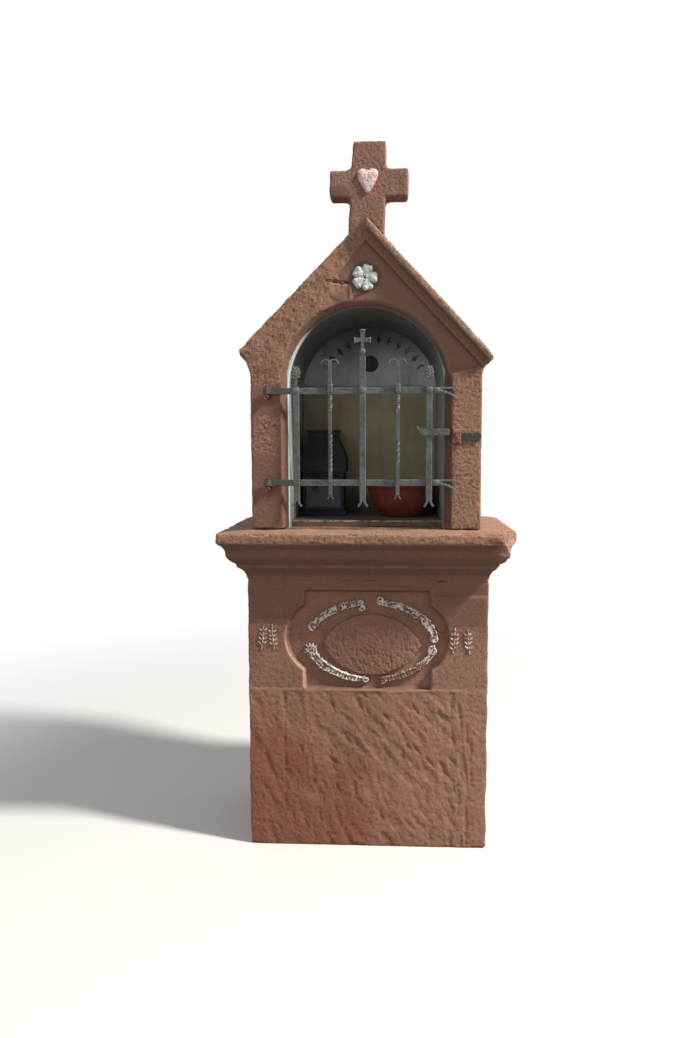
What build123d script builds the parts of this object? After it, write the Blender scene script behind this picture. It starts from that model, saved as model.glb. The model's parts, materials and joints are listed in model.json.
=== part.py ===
from build123d import *
import os
from math import atan, cos, degrees, radians, sin, sqrt

# Sandstone wayside shrine: a pedestal with a sunk cartouche, a moulded cornice, a niche house
# with a round arch and a gable, a stone cross on the ridge, and a wrought-iron gate hung
# on two pintles. Millimetres, +Z up, front towards -Y, origin at the centre of the foot.

# Pedestal
PEDESTAL_WIDTH = 740.0
PEDESTAL_DEPTH = 420.0
PEDESTAL_HEIGHT = 834.0
PEDESTAL_EDGE_ROUND = 6.0

# Sunk cartouche in the pedestal's front
PANEL_WIDTH = 388.0
PANEL_HEIGHT = 306.0
PANEL_TOP_MARGIN = 26.0
PANEL_DEPTH = 22.0
PANEL_EDGE_ROUND = 5.0
DRESSED_SETBACK = 2.5
LOBE_REACH = 56.0
LOBE_RISE = 60.0
LOBE_HEIGHT = 200.0
OVAL_WIDTH = 310.0
OVAL_HEIGHT = 192.0
OVAL_CENTRE_X = 13.0
OVAL_RISE = 137.0
OVAL_RELIEF = 9.0
WREATH_HALF_WIDTH = 194.0
WREATH_HALF_HEIGHT = 121.0
WREATH_RISE = 11.0
SCROLL_RELIEF = 17.0
SCROLL_LOBE_RADIUS = 13.0
SCROLL_LOBE_PITCH = 13.0
SCROLL_LARGE_LOBE = 0.86
SCROLL_SMALL_LOBE = 0.72
SCROLL_TIP_SHARE = 0.8
SCROLL_TIP_CURL = 14.0
LOBE_SIDES = 12
UPPER_LEFT_EYE = 159.0
UPPER_LEFT_TIP = 97.0
UPPER_RIGHT_EYE = 4.0
UPPER_RIGHT_TIP = 84.0
LOWER_RIGHT_EYE = -14.0
LOWER_RIGHT_TIP = -82.0
LOWER_LEFT_EYE = 194.0
LOWER_LEFT_TIP = 266.0
UPPER_EYE_SWELL = 1.1
LOWER_RIGHT_SWELL = 1.0
LOWER_LEFT_SWELL = 1.75

# Weathering: the flaked bands over the date fields, and the chipped corner of the cornice
LEFT_FLAKE_HEIGHT = 131.0
LEFT_FLAKE_DEPTH = 9.0
RIGHT_FLAKE_HEIGHT = 42.0
RIGHT_FLAKE_DEPTH = 5.0
CHIP_ALONG_FRONT = 46.0
CHIP_ALONG_SIDE = 60.0

# Cornice
CORNICE_HEIGHT = 169.0
CORNICE_PROJECTION = 80.0
CORNICE_FASCIA = 43.0
CORNICE_COVE_RISE = 48.0
CORNICE_COVE_REACH = 27.0
CORNICE_COVE_BEND = 0.3
CORNICE_FILLET = 15.0
CORNICE_FILLET_STEP = 6.0
CORNICE_OGEE_BULGE = 3.6
CORNICE_EDGE_ROUND = 7.0
WEATHERING_DROP = 9.0
WEATHERING_MARGIN = 8.0

# Niche house
HOUSE_CENTRE_X = -3.0
HOUSE_WIDTH = 680.0
HOUSE_DEPTH = 528.0
BACK_WALL = 102.0
PIER_HEIGHT = 447.0
PIER_EDGE_ROUND = 6.0
ARCH_RADIUS = 240.0
SPRING_DROP = 29.0
ARCH_CHAMFER_DEPTH = 24.0
ARCH_CHAMFER_WIDTH = 13.0
PLASTER = 10.0
FLOOR_THICKNESS = 18.0
FLOOR_SETBACK = 95.0

# Gable and roof
EAVE_REACH = 33.0
LEFT_EAVE_RISE = 80.0
RIGHT_EAVE_RISE = 59.0
EAVE_FASCIA = 14.0
EAVE_COVE_START = 8.0
EAVE_COVE_SHARE = 0.35
RIDGE_RISE = 456.0
RAKE_PROJECTION = 22.0
RAKE_FASCIA = 23.0
RAKE_COVE = 15.0
RAKE_FILLET = 10.0
RAKE_FILLET_PROJECTION = 6.0
RAKE_HOLLOW_OUT = 0.15
RAKE_HOLLOW_DOWN = 0.3

# Sunk field of the gable, to the right of the stone left standing under the lost moulding
FIELD_DEPTH = 6.0
FIELD_APEX_X = -5.0
FIELD_SHOULDER_X = -84.0
FIELD_SHOULDER_TOP = 290.0
FIELD_SHOULDER_FOOT = 273.0
FIELD_STEP_X = -45.0
FIELD_STEP_TOP = 262.0
LEDGE_INNER_RISE = 6.3
LEDGE_OUTER_RISE = 25.0
LEDGE_MARGIN = 9.0

# Cross on the ridge: it leans to the right and tapers upwards
CROSS_RISE = 218.0
CROSS_FOOT_LEFT = -56.5
CROSS_FOOT_RIGHT = 54.0
CROSS_HEAD_LEFT = -41.0
CROSS_HEAD_RIGHT = 59.5
CROSS_ARM_LEFT = -108.7
CROSS_ARM_RIGHT = 123.0
CROSS_ARM_BOTTOM = 57.0
CROSS_ARM_TOP_LEFT = 138.0
CROSS_ARM_TOP_RIGHT = 141.7
CROSS_THICKNESS = 70.0
CROSS_SETBACK = 29.0
CROSS_EDGE_ROUND = 7.0
HEART_X = 3.6
HEART_ABOVE_RIDGE = 105.0
HEART_WIDTH = 59.5
HEART_HEIGHT = 76.0
HEART_RELIEF = 9.0
HEART_BEVEL = 3.0
HEART_CLEFT = 0.62
HEART_SHOULDER = 0.38
HEART_LOBE_PEAK = 0.55
HEART_FLANK_OUT = 0.72
HEART_FLANK_DOWN = 0.28
HEART_STEPS = 8
ROSETTE_X = -4.0
ROSETTE_RADIUS = 41.0
ROSETTE_RELIEF = 11.0
ROSETTE_BELOW_RIDGE = 173.0
ROSETTE_PETALS = 5
ROSETTE_PETAL_RADIUS = 17.5
PETAL_SIDES = 16
ROSETTE_EYE_RADIUS = 8.0
ROSETTE_EYE_DEPTH = 6.0

# Furnishings of the niche
BACKDROP_HEIGHT = 430.0
BACKDROP_THICKNESS = 10.0
BACKDROP_SIDE_GAP = 4.0
PLATE_RADIUS = 27.0
PLATE_THICKNESS = 6.0
PLATE_ABOVE_SPRING = 106.0
LANTERN_X = -150.0
LANTERN_WIDTH = 150.0
LANTERN_WALL_GAP = 14.0
LANTERN_BASE_HEIGHT = 18.0
LANTERN_BODY_HEIGHT = 125.0
LANTERN_BODY_INSET = 8.0
LANTERN_POST = 10.0
LANTERN_GLASS = 3.0
LANTERN_SKIRT = 45.0
LANTERN_TAPER = 70.0
LANTERN_NECK = 96.0
LANTERN_BAND_HEIGHT = 16.0
LANTERN_CAP_WIDTH = 106.0
LANTERN_CAP_THICKNESS = 7.0
CANDLE_RADIUS = 15.0
CANDLE_HEIGHT = 62.0
BOWL_X = 107.5
BOWL_Y = -4.0
BOWL_RIM_RADIUS = 113.0
BOWL_FOOT_RADIUS = 62.0
BOWL_HEIGHT = 104.0
BOWL_WALL = 7.0
BOWL_KNEE_RADIUS = 96.0
BOWL_KNEE_HEIGHT = 40.0
BOWL_LIP = 5.0
BOWL_SIDES = 48
SOIL_DROP = 16.0

# Wrought-iron gate
GATE_GAP = 5.0
FLAT_BAR_THICKNESS = 6.0
FLAT_BAR_CHAMFER = 1.0
RAIL_HEIGHT = 19.0
STILE_WIDTH = 19.0
LOWER_RAIL_HEIGHT = 139.0
UPPER_RAIL_BELOW_PIER_TOP = 41.0
RAIL_SPLIT_X = 202.0
RAIL_TIP_X = 262.0
RAIL_TONGUE_DROP = 26.0
TONGUE_WIDTH = 7.0
HINGE_X = -290.0
PIN_RADIUS = 6.0
PIN_CLEARANCE = 0.05
EYE_WALL = 5.0
PIN_ABOVE_EYE = 7.0
PINTLE_EMBEDMENT = 60.0
PINTLE_SHOULDER_GAP = 0.5
HINGE_STILE_X = -204.0
CENTRE_BAR_X = -10.5
LATCH_STILE_X = 182.0
FOOT_BELOW_RAIL = 52.0
FOOT_LENGTH = 18.0
FOOT_SPREAD = 14.0
PRONG_WIDTH = 7.0
PRONG_START_OUT = 0.3
PRONG_START_UP = 0.4
PRONG_BEND_OUT = 0.45
PRONG_BEND_DOWN = 0.35
SIDE_BAR_ABOVE_RAIL = 12.0
CENTRE_BAR_ABOVE_RAIL = 98.0
LEAF_NECK_WIDTH = 9.0
LEAF_NECK = 20.0
LEAF_WIDTH = 29.0
LEAF_HEIGHT = 39.0
LEAF_LOBES = 7
LEAF_FIRST_LOBE = -45.0
LEAF_LOBE_RADIUS = 5.4
FINIAL_CROSS_HEIGHT = 77.0
FINIAL_CROSS_SPAN = 50.0
FINIAL_CROSS_AXIS = 46.0
FINIAL_ARM_FLARE = 18.0
FINIAL_ARM_NECK = 9.0
FINIAL_KNOB_WIDTH = 22.0
FINIAL_KNOB_HEIGHT = 26.0

# Twisted bars
TWIST_BAR = 11.0
TWIST_STEPS = 6
LEFT_TWIST_X = -105.0
RIGHT_TWIST_X = 91.0
TWIST_BAR_BELOW_RAIL = 36.0
TWIST_BAR_ABOVE_RAIL = 84.0
UPPER_TWIST_LENGTH = 46.0
UPPER_TWIST_HALF_TURNS = 1
TWIST_BELOW_UPPER_RAIL = 10.0
LEFT_TWIST_START = 34.0
LEFT_TWIST_LENGTH = 110.0
LEFT_TWIST_HALF_TURNS = 4
RIGHT_TWIST_START = 58.0
RIGHT_TWIST_LENGTH = 66.0
RIGHT_TWIST_HALF_TURNS = 2
COLLAR_WIDTH = 17.0
COLLAR_HEIGHT = 26.0
COLLAR_ABOVE_RAIL = 6.0
COLLAR_THICKNESS = 2.0
COLLAR_CHAMFER = 3.0
CURL_REACH = 25.0
CURL_RISE = 9.0
CURL_DROP = 8.0
CURL_WIDTH = 4.5
CURL_BEND = 0.55
SPLIT_REACH = 9.0
SPLIT_DROP = 12.0

# Latch strap on the gate, and its keeper on the right pier
LATCH_ABOVE_LOWER_RAIL = 147.0
STRAP_WIDTH = 20.0
STRAP_THICKNESS = 5.0
STRAP_TIP_X = 156.0
STRAP_TIP_CURL = 9.0
STRAP_CLEARANCE = 6.0
KEEPER_DROP = 13.0
KEEPER_HEIGHT = 23.0
KEEPER_END_MARGIN = 3.0
KEEPER_END_ROUND = 9.0
KEEPER_MORTAR_X = 262.0
KEEPER_MORTAR_WIDTH = 30.0
KEEPER_MORTAR_HEIGHT = 47.0
KEEPER_MORTAR_RELIEF = 18.0
KEEPER_MORTAR_ROUND = 7.0

# Derived levels and planes
CORNICE_TOP = PEDESTAL_HEIGHT + CORNICE_HEIGHT
HOUSE_LEFT = HOUSE_CENTRE_X - HOUSE_WIDTH / 2
HOUSE_RIGHT = HOUSE_CENTRE_X + HOUSE_WIDTH / 2
HOUSE_FRONT = -HOUSE_DEPTH / 2
HOUSE_BACK = HOUSE_DEPTH / 2
PEDESTAL_FRONT = -PEDESTAL_DEPTH / 2
PIER_TOP = CORNICE_TOP + PIER_HEIGHT
SPRING_Z = PIER_TOP - SPRING_DROP
RIDGE_Z = PIER_TOP + RIDGE_RISE
ROOF_REACH = HOUSE_WIDTH / 2 + EAVE_REACH
RAKE_DEPTH = RAKE_FASCIA + RAKE_COVE + RAKE_FILLET
FIELD_BACK = HOUSE_FRONT + FIELD_DEPTH
NICHE_BACK = HOUSE_BACK - BACK_WALL
LINING_FRONT = HOUSE_FRONT + ARCH_CHAMFER_DEPTH
PLASTER_FACE = NICHE_BACK - PLASTER
NICHE_RADIUS = ARCH_RADIUS - PLASTER
FLOOR_TOP = CORNICE_TOP + FLOOR_THICKNESS
FLOOR_FRONT = HOUSE_FRONT + FLOOR_SETBACK
PANEL_FLOOR = PEDESTAL_FRONT + PANEL_DEPTH
PANEL_BOTTOM = PEDESTAL_HEIGHT - PANEL_TOP_MARGIN - PANEL_HEIGHT
OVAL_CENTRE_Z = PANEL_BOTTOM + OVAL_RISE
RAIL_BACK = HOUSE_FRONT - GATE_GAP
RAIL_FRONT = RAIL_BACK - FLAT_BAR_THICKNESS
STILE_FRONT = RAIL_FRONT - FLAT_BAR_THICKNESS
EYE_RADIUS = PIN_RADIUS + PIN_CLEARANCE + EYE_WALL
HINGE_Y = RAIL_BACK - EYE_RADIUS
LOWER_RAIL_Z = CORNICE_TOP + LOWER_RAIL_HEIGHT
UPPER_RAIL_Z = PIER_TOP - UPPER_RAIL_BELOW_PIER_TOP
CROSS_FRONT = HOUSE_FRONT + CROSS_SETBACK
WREATH_Z = OVAL_CENTRE_Z + WREATH_RISE
LATCH_Z = LOWER_RAIL_Z + LATCH_ABOVE_LOWER_RAIL
BODY_BOTTOM = FLOOR_TOP + LANTERN_BASE_HEIGHT
BODY_TOP = BODY_BOTTOM + LANTERN_BODY_HEIGHT
NECK_Z = BODY_TOP + LANTERN_SKIRT + LANTERN_TAPER
BODY_WIDTH = LANTERN_WIDTH - 2 * LANTERN_BODY_INSET
LANTERN_Y = PLASTER_FACE - BACKDROP_THICKNESS - LANTERN_WALL_GAP - LANTERN_WIDTH / 2


def block(x0, x1, y0, y1, z0, z1):
    """A rectangular block between two corners."""
    return Pos((x0 + x1) / 2, (y0 + y1) / 2, (z0 + z1) / 2) * Box(x1 - x0, y1 - y0, z1 - z0)


def front_prism(face, y0, y1):
    """A face drawn in X and Z at y=0, made a prism from y0 to y1."""
    return Pos(0, y1, 0) * extrude(face, amount=y1 - y0, dir=(0, -1, 0))


def side_prism(outline, x0, x1):
    """A closed outline of (y, z) points, made a prism from x0 to x1."""
    face = Plane.YZ * make_face(Polyline(*outline, close=True))
    return Pos(x0, 0, 0) * extrude(face, amount=x1 - x0, dir=(1, 0, 0))


def bent_bar(points, width):
    """The front view of a bar of that width, bent through three (x, z) points."""
    return Plane.XZ * trace(ThreePointArc(*points), width)


def write(node, shape):
    """One STEP file for each named piece."""
    export_step(shape, f"parts/{node}.step")


def cartouche_outline():
    """The sunk panel's outline: a rectangle with a swelling lobe on each side."""
    panel_z = PANEL_BOTTOM + PANEL_HEIGHT / 2
    outline = Pos(0, 0, panel_z) * (Plane.XZ * Rectangle(PANEL_WIDTH, PANEL_HEIGHT))
    lobe_radius = ((LOBE_HEIGHT / 2) ** 2 + LOBE_REACH**2) / (2 * LOBE_REACH)
    lobe_x = PANEL_WIDTH / 2 + LOBE_REACH - lobe_radius
    lobe_z = PANEL_BOTTOM + LOBE_RISE + LOBE_HEIGHT / 2
    for side in (-1, 1):
        outline += Pos(side * lobe_x, 0, lobe_z) * (Plane.XZ * Circle(lobe_radius))
    return outline


def flake(x0, x1, height, depth):
    """The wedge that has flaked off under the cornice, deepest at its lower edge."""
    face_y = PEDESTAL_FRONT + DRESSED_SETBACK
    low = PEDESTAL_HEIGHT - height
    outline = (
        (face_y - depth, low), (face_y + depth, low),
        (face_y, PEDESTAL_HEIGHT), (face_y - depth, PEDESTAL_HEIGHT),
    )
    return side_prism(outline, x0, x1)


def pedestal_block():
    half = PEDESTAL_WIDTH / 2
    panel_half = PANEL_WIDTH / 2
    dressed_y = PEDESTAL_FRONT + DRESSED_SETBACK
    shaft = Pos(0, 0, PEDESTAL_HEIGHT / 2) * Box(PEDESTAL_WIDTH, PEDESTAL_DEPTH, PEDESTAL_HEIGHT)
    shaft = fillet(shaft.edges().filter_by(Axis.Z), PEDESTAL_EDGE_ROUND)
    shaft -= block(-half, half, PEDESTAL_FRONT, dressed_y, PANEL_BOTTOM, PEDESTAL_HEIGHT)
    shaft -= front_prism(cartouche_outline(), PEDESTAL_FRONT - PANEL_DEPTH, PANEL_FLOOR)
    at_panel = shaft.edges().filter_by(lambda e: abs(e.bounding_box().max.Y - dressed_y) < 0.01)
    rim = at_panel.filter_by(lambda e: abs(e.center().X) < panel_half + LOBE_REACH + 1)
    rim = rim.filter_by(lambda e: PANEL_BOTTOM + 1 < e.center().Z < PEDESTAL_HEIGHT - 1)
    shaft = fillet(rim, PANEL_EDGE_ROUND)
    shaft -= flake(-half, -panel_half, LEFT_FLAKE_HEIGHT, LEFT_FLAKE_DEPTH)
    return shaft - flake(panel_half, half, RIGHT_FLAKE_HEIGHT, RIGHT_FLAKE_DEPTH)


def pointed_oval(width, height):
    """A face of two arcs that meet in points at the left and right, centred on the origin."""
    left, right = (-width / 2, 0), (width / 2, 0)
    upper = ThreePointArc(left, (0, height / 2), right)
    lower = ThreePointArc(right, (0, -height / 2), left)
    return Plane.XZ * make_face([upper, lower])


def medallion():
    field = Pos(OVAL_CENTRE_X, 0, OVAL_CENTRE_Z) * pointed_oval(OVAL_WIDTH, OVAL_HEIGHT)
    return front_prism(field, PANEL_FLOOR - OVAL_RELIEF, PANEL_FLOOR) - cartouche_scrolls()


def wreath_point(turn, outward=0):
    """A point at an angle round the wreath's oval, moved outwards by that much."""
    across = (WREATH_HALF_WIDTH + outward) * cos(radians(turn))
    return Pos(OVAL_CENTRE_X + across, 0, WREATH_Z + (WREATH_HALF_HEIGHT + outward) * sin(radians(turn)))


def lobe_face(radius):
    """One leaf lobe in front view, as a many-sided disc."""
    return Plane.XZ * RegularPolygon(radius, LOBE_SIDES)


def leafy_scroll(first, last, swell, tip_outward):
    """Leaf lobes along part of the wreath, from a large curled eye to a small curled tip."""
    length = abs(last - first) * radians(1) * (WREATH_HALF_WIDTH + WREATH_HALF_HEIGHT) / 2
    lobes = round(length / SCROLL_LOBE_PITCH)
    face = wreath_point(first) * lobe_face(SCROLL_LOBE_RADIUS * swell)
    face += wreath_point(last, tip_outward) * lobe_face(SCROLL_LOBE_RADIUS * SCROLL_TIP_SHARE)
    for i in range(1, lobes + 1):
        share = SCROLL_LARGE_LOBE if i % 2 else SCROLL_SMALL_LOBE
        face += wreath_point(first + (last - first) * i / lobes) * lobe_face(SCROLL_LOBE_RADIUS * share)
    return front_prism(face, PANEL_FLOOR - SCROLL_RELIEF, PANEL_FLOOR)


def cartouche_scrolls():
    """Four leafy C-scrolls round the oval field, each drawn from its larger end."""
    return Compound(children=[
        leafy_scroll(UPPER_LEFT_EYE, UPPER_LEFT_TIP, UPPER_EYE_SWELL, -SCROLL_TIP_CURL),
        leafy_scroll(UPPER_RIGHT_EYE, UPPER_RIGHT_TIP, UPPER_EYE_SWELL, SCROLL_TIP_CURL),
        leafy_scroll(LOWER_RIGHT_EYE, LOWER_RIGHT_TIP, LOWER_RIGHT_SWELL, SCROLL_TIP_CURL / 2),
        leafy_scroll(LOWER_LEFT_EYE, LOWER_LEFT_TIP, LOWER_LEFT_SWELL, 0),
    ])


def cornice():
    """A slab moulded on all four sides: cove, fillet, ogee and fascia, with a weathered top."""
    reach, rise = CORNICE_COVE_REACH, CORNICE_COVE_RISE
    fillet_top = rise + CORNICE_FILLET
    ogee_foot = reach + CORNICE_FILLET_STEP
    ogee_top = CORNICE_HEIGHT - CORNICE_FASCIA
    fascia_top = CORNICE_HEIGHT - WEATHERING_DROP
    ogee_mid = ((ogee_foot + CORNICE_PROJECTION) / 2, (fillet_top + ogee_top) / 2)
    bulge = CORNICE_OGEE_BULGE
    lower_belly = ((ogee_foot + ogee_mid[0]) / 2 + bulge, (fillet_top + ogee_mid[1]) / 2 - bulge)
    upper_hollow = ((CORNICE_PROJECTION + ogee_mid[0]) / 2 - bulge, (ogee_top + ogee_mid[1]) / 2 + bulge)
    half_w, half_d = PEDESTAL_WIDTH / 2, PEDESTAL_DEPTH / 2

    def profile(half):
        return make_face([
            Line((-half, 0), (0, 0)),
            ThreePointArc((0, 0), (reach * CORNICE_COVE_BEND, rise * (1 - CORNICE_COVE_BEND)), (reach, rise)),
            Line((reach, rise), (reach, fillet_top)),
            Line((reach, fillet_top), (ogee_foot, fillet_top)),
            ThreePointArc((ogee_foot, fillet_top), lower_belly, ogee_mid),
            ThreePointArc(ogee_mid, upper_hollow, (CORNICE_PROJECTION, ogee_top)),
            Line((CORNICE_PROJECTION, ogee_top), (CORNICE_PROJECTION, fascia_top)),
            Line((CORNICE_PROJECTION, fascia_top), (-half, fascia_top)),
            Line((-half, fascia_top), (-half, 0)),
        ])

    length = PEDESTAL_WIDTH + PEDESTAL_DEPTH
    right = extrude(Pos(half_w, 0, 0) * (Plane.XZ * profile(half_w)), amount=length, both=True)
    back = extrude(Pos(0, half_d, 0) * (Plane.YZ * profile(half_d)), amount=length, both=True)
    slab = (right + mirror(right, about=Plane.YZ)) & (back + mirror(back, about=Plane.XZ))
    corners = slab.edges().filter_by(Axis.Z).filter_by(lambda e: e.center().Z > ogee_top)
    slab = fillet(corners, CORNICE_EDGE_ROUND)
    width = PEDESTAL_WIDTH + 2 * CORNICE_PROJECTION - 2 * CORNICE_EDGE_ROUND
    depth = PEDESTAL_DEPTH + 2 * CORNICE_PROJECTION - 2 * CORNICE_EDGE_ROUND
    seat = Rectangle(HOUSE_WIDTH + WEATHERING_MARGIN, HOUSE_DEPTH + WEATHERING_MARGIN)
    seat = Pos(HOUSE_CENTRE_X, 0, CORNICE_HEIGHT) * seat
    slab += loft(Sketch() + [Pos(0, 0, fascia_top) * Rectangle(width, depth), seat])
    return Pos(0, 0, PEDESTAL_HEIGHT) * (slab - corner_chip())


def corner_chip():
    """The broken right-hand front corner, as a wedge cut off along a slanting plane."""
    x = PEDESTAL_WIDTH / 2 + CORNICE_PROJECTION
    y = -PEDESTAL_DEPTH / 2 - CORNICE_PROJECTION
    corner = Plane.XY * make_face(Polyline(
        (x - CHIP_ALONG_FRONT, y), (x, y + CHIP_ALONG_SIDE), (x + CHIP_ALONG_SIDE, y + CHIP_ALONG_SIDE),
        (x + CHIP_ALONG_SIDE, y - CHIP_ALONG_FRONT), (x - CHIP_ALONG_FRONT, y - CHIP_ALONG_FRONT), close=True,
    ))
    return extrude(corner, amount=CORNICE_HEIGHT, dir=(0, 0, 1))


def arch_void(radius, y0, y1):
    """The space under a round arch, from the cornice up, between two planes."""
    x = HOUSE_CENTRE_X
    doorway = block(x - radius, x + radius, y0, y1, CORNICE_TOP, SPRING_Z)
    vault = Pos(x, (y0 + y1) / 2, SPRING_Z) * Rot(90, 0, 0) * Cylinder(radius, y1 - y0)
    return doorway + vault


def arch_chamfer():
    """The splay cut round the front of the arch and down both jambs."""
    outer = ARCH_RADIUS + ARCH_CHAMFER_WIDTH
    cone = Cone(NICHE_RADIUS, outer, ARCH_CHAMFER_DEPTH)
    splay = Pos(0, HOUSE_FRONT + ARCH_CHAMFER_DEPTH / 2, SPRING_Z) * Rot(90, 0, 0) * cone
    jamb = Polyline(
        (-outer, HOUSE_FRONT), (outer, HOUSE_FRONT),
        (NICHE_RADIUS, LINING_FRONT), (-NICHE_RADIUS, LINING_FRONT), close=True,
    )
    height = SPRING_Z - CORNICE_TOP
    splay += Pos(0, 0, CORNICE_TOP) * extrude(make_face(jamb), amount=height, dir=(0, 0, 1))
    return Pos(HOUSE_CENTRE_X, 0, 0) * splay


def opening_cut():
    """All that the niche takes out of the stone: the splay in front and the vault behind."""
    return arch_chamfer() + arch_void(ARCH_RADIUS, LINING_FRONT, NICHE_BACK)


def pier(side):
    """A side wall of the niche, from the front to the back wall, with its half of the splay."""
    outer = HOUSE_LEFT if side < 0 else HOUSE_RIGHT
    x0, x1 = sorted((outer, side * ARCH_RADIUS / 2))
    wall = block(x0, x1, HOUSE_FRONT, NICHE_BACK, CORNICE_TOP, PIER_TOP)
    arris = wall.edges().filter_by(Axis.Z).sort_by(lambda e: e.center().Y - side * e.center().X)[0]
    return fillet(arris, PIER_EDGE_ROUND) - opening_cut()


def back_wall():
    wall = block(HOUSE_LEFT, HOUSE_RIGHT, NICHE_BACK, HOUSE_BACK, CORNICE_TOP, PIER_TOP)
    arrises = wall.edges().filter_by(Axis.Z).group_by(Axis.Y)[-1]
    return fillet(arrises, PIER_EDGE_ROUND)


def eave_z(rise):
    """The height of an eave's tip."""
    return PIER_TOP + rise


def roof_slope(rise):
    """The fall of the roof for each millimetre away from the ridge, down to an eave of that rise."""
    return (RIDGE_Z - eave_z(rise)) / ROOF_REACH


def rake_moulding(rise):
    """A moulding up the front of the gable's right half: fascia, cove and fillet."""
    length = sqrt(ROOF_REACH**2 + (RIDGE_Z - eave_z(rise)) ** 2)
    cove_start = (RAKE_PROJECTION, RAKE_FASCIA)
    cove_end = (RAKE_FILLET_PROJECTION, RAKE_FASCIA + RAKE_COVE)
    hollow_out = RAKE_FILLET_PROJECTION + RAKE_COVE * RAKE_HOLLOW_OUT
    hollow = (hollow_out, RAKE_FASCIA + RAKE_COVE * RAKE_HOLLOW_DOWN)
    profile = make_face([
        Line((0, 0), (RAKE_PROJECTION, 0)),
        Line((RAKE_PROJECTION, 0), cove_start),
        ThreePointArc(cove_start, hollow, cove_end),
        Line(cove_end, (RAKE_FILLET_PROJECTION, RAKE_DEPTH)),
        Line((RAKE_FILLET_PROJECTION, RAKE_DEPTH), (0, RAKE_DEPTH)),
        Line((0, RAKE_DEPTH), (0, 0)),
    ])
    down_slope = Vector(ROOF_REACH, 0, eave_z(rise) - RIDGE_Z).normalized()
    plane = Plane(origin=(0, HOUSE_FRONT, RIDGE_Z), x_dir=(0, -1, 0), z_dir=down_slope)
    run = extrude(plane * profile, amount=length, dir=down_slope)
    run += extrude(plane * profile, amount=RAKE_DEPTH, dir=-down_slope)
    return run & block(0, ROOF_REACH, HOUSE_FRONT - RAKE_PROJECTION, HOUSE_FRONT, PIER_TOP, RIDGE_Z)


def gable_half(rise):
    """The right half of the gable in front view, with the cove under its eave."""
    wall_x = HOUSE_WIDTH / 2
    tip_z = eave_z(rise)
    cove_foot = (wall_x, PIER_TOP + EAVE_COVE_START)
    cove_top = (ROOF_REACH, tip_z - EAVE_FASCIA)
    cove_mid = (wall_x + EAVE_REACH * EAVE_COVE_SHARE, (cove_foot[1] + cove_top[1] + EAVE_COVE_START) / 2)
    return Plane.XZ * make_face([
        Line((0, PIER_TOP), (wall_x, PIER_TOP)),
        Line((wall_x, PIER_TOP), cove_foot),
        ThreePointArc(cove_foot, cove_mid, cove_top),
        Line(cove_top, (ROOF_REACH, tip_z)),
        Line((ROOF_REACH, tip_z), (0, RIDGE_Z)),
        Line((0, RIDGE_Z), (0, PIER_TOP)),
    ])


def sunk_field():
    """The sunk face of the gable: under the right moulding, down to the ledge and the arch."""
    slope = roof_slope(RIGHT_EAVE_RISE)
    drop = RAKE_DEPTH * sqrt(1 + slope**2)
    above_spring = SPRING_DROP + LEDGE_INNER_RISE
    inner = HOUSE_CENTRE_X + sqrt((ARCH_RADIUS + ARCH_CHAMFER_WIDTH) ** 2 - above_spring**2)
    outer = HOUSE_RIGHT - LEDGE_MARGIN

    def under_moulding(x):
        return RIDGE_Z - drop - (x - HOUSE_CENTRE_X) * slope

    outline = Polyline(
        (FIELD_APEX_X, under_moulding(FIELD_APEX_X)), (outer, under_moulding(outer)),
        (outer, PIER_TOP + LEDGE_OUTER_RISE), (inner, PIER_TOP + LEDGE_INNER_RISE),
        (inner, SPRING_Z), (FIELD_STEP_X, SPRING_Z), (FIELD_STEP_X, PIER_TOP + FIELD_STEP_TOP),
        (FIELD_SHOULDER_X, PIER_TOP + FIELD_SHOULDER_FOOT), (FIELD_SHOULDER_X, PIER_TOP + FIELD_SHOULDER_TOP),
        close=True,
    )
    return front_prism(Plane.XZ * make_face(outline), HOUSE_FRONT - FIELD_DEPTH, FIELD_BACK)


def gable_stone():
    """The arched gable with its eaves, cut from one block. The front left moulding is lost."""
    right = front_prism(gable_half(RIGHT_EAVE_RISE), HOUSE_FRONT, HOUSE_BACK)
    left = mirror(front_prism(gable_half(LEFT_EAVE_RISE), HOUSE_FRONT, HOUSE_BACK), about=Plane.YZ)
    front_right = rake_moulding(RIGHT_EAVE_RISE)
    back_right = mirror(front_right, about=Plane.XZ)
    back_left = mirror(mirror(rake_moulding(LEFT_EAVE_RISE), about=Plane.YZ), about=Plane.XZ)
    to_house = Pos(HOUSE_CENTRE_X, 0, 0)
    stone = to_house * (right + left + back_right + back_left) - opening_cut() - sunk_field()
    return stone + to_house * front_right


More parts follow.
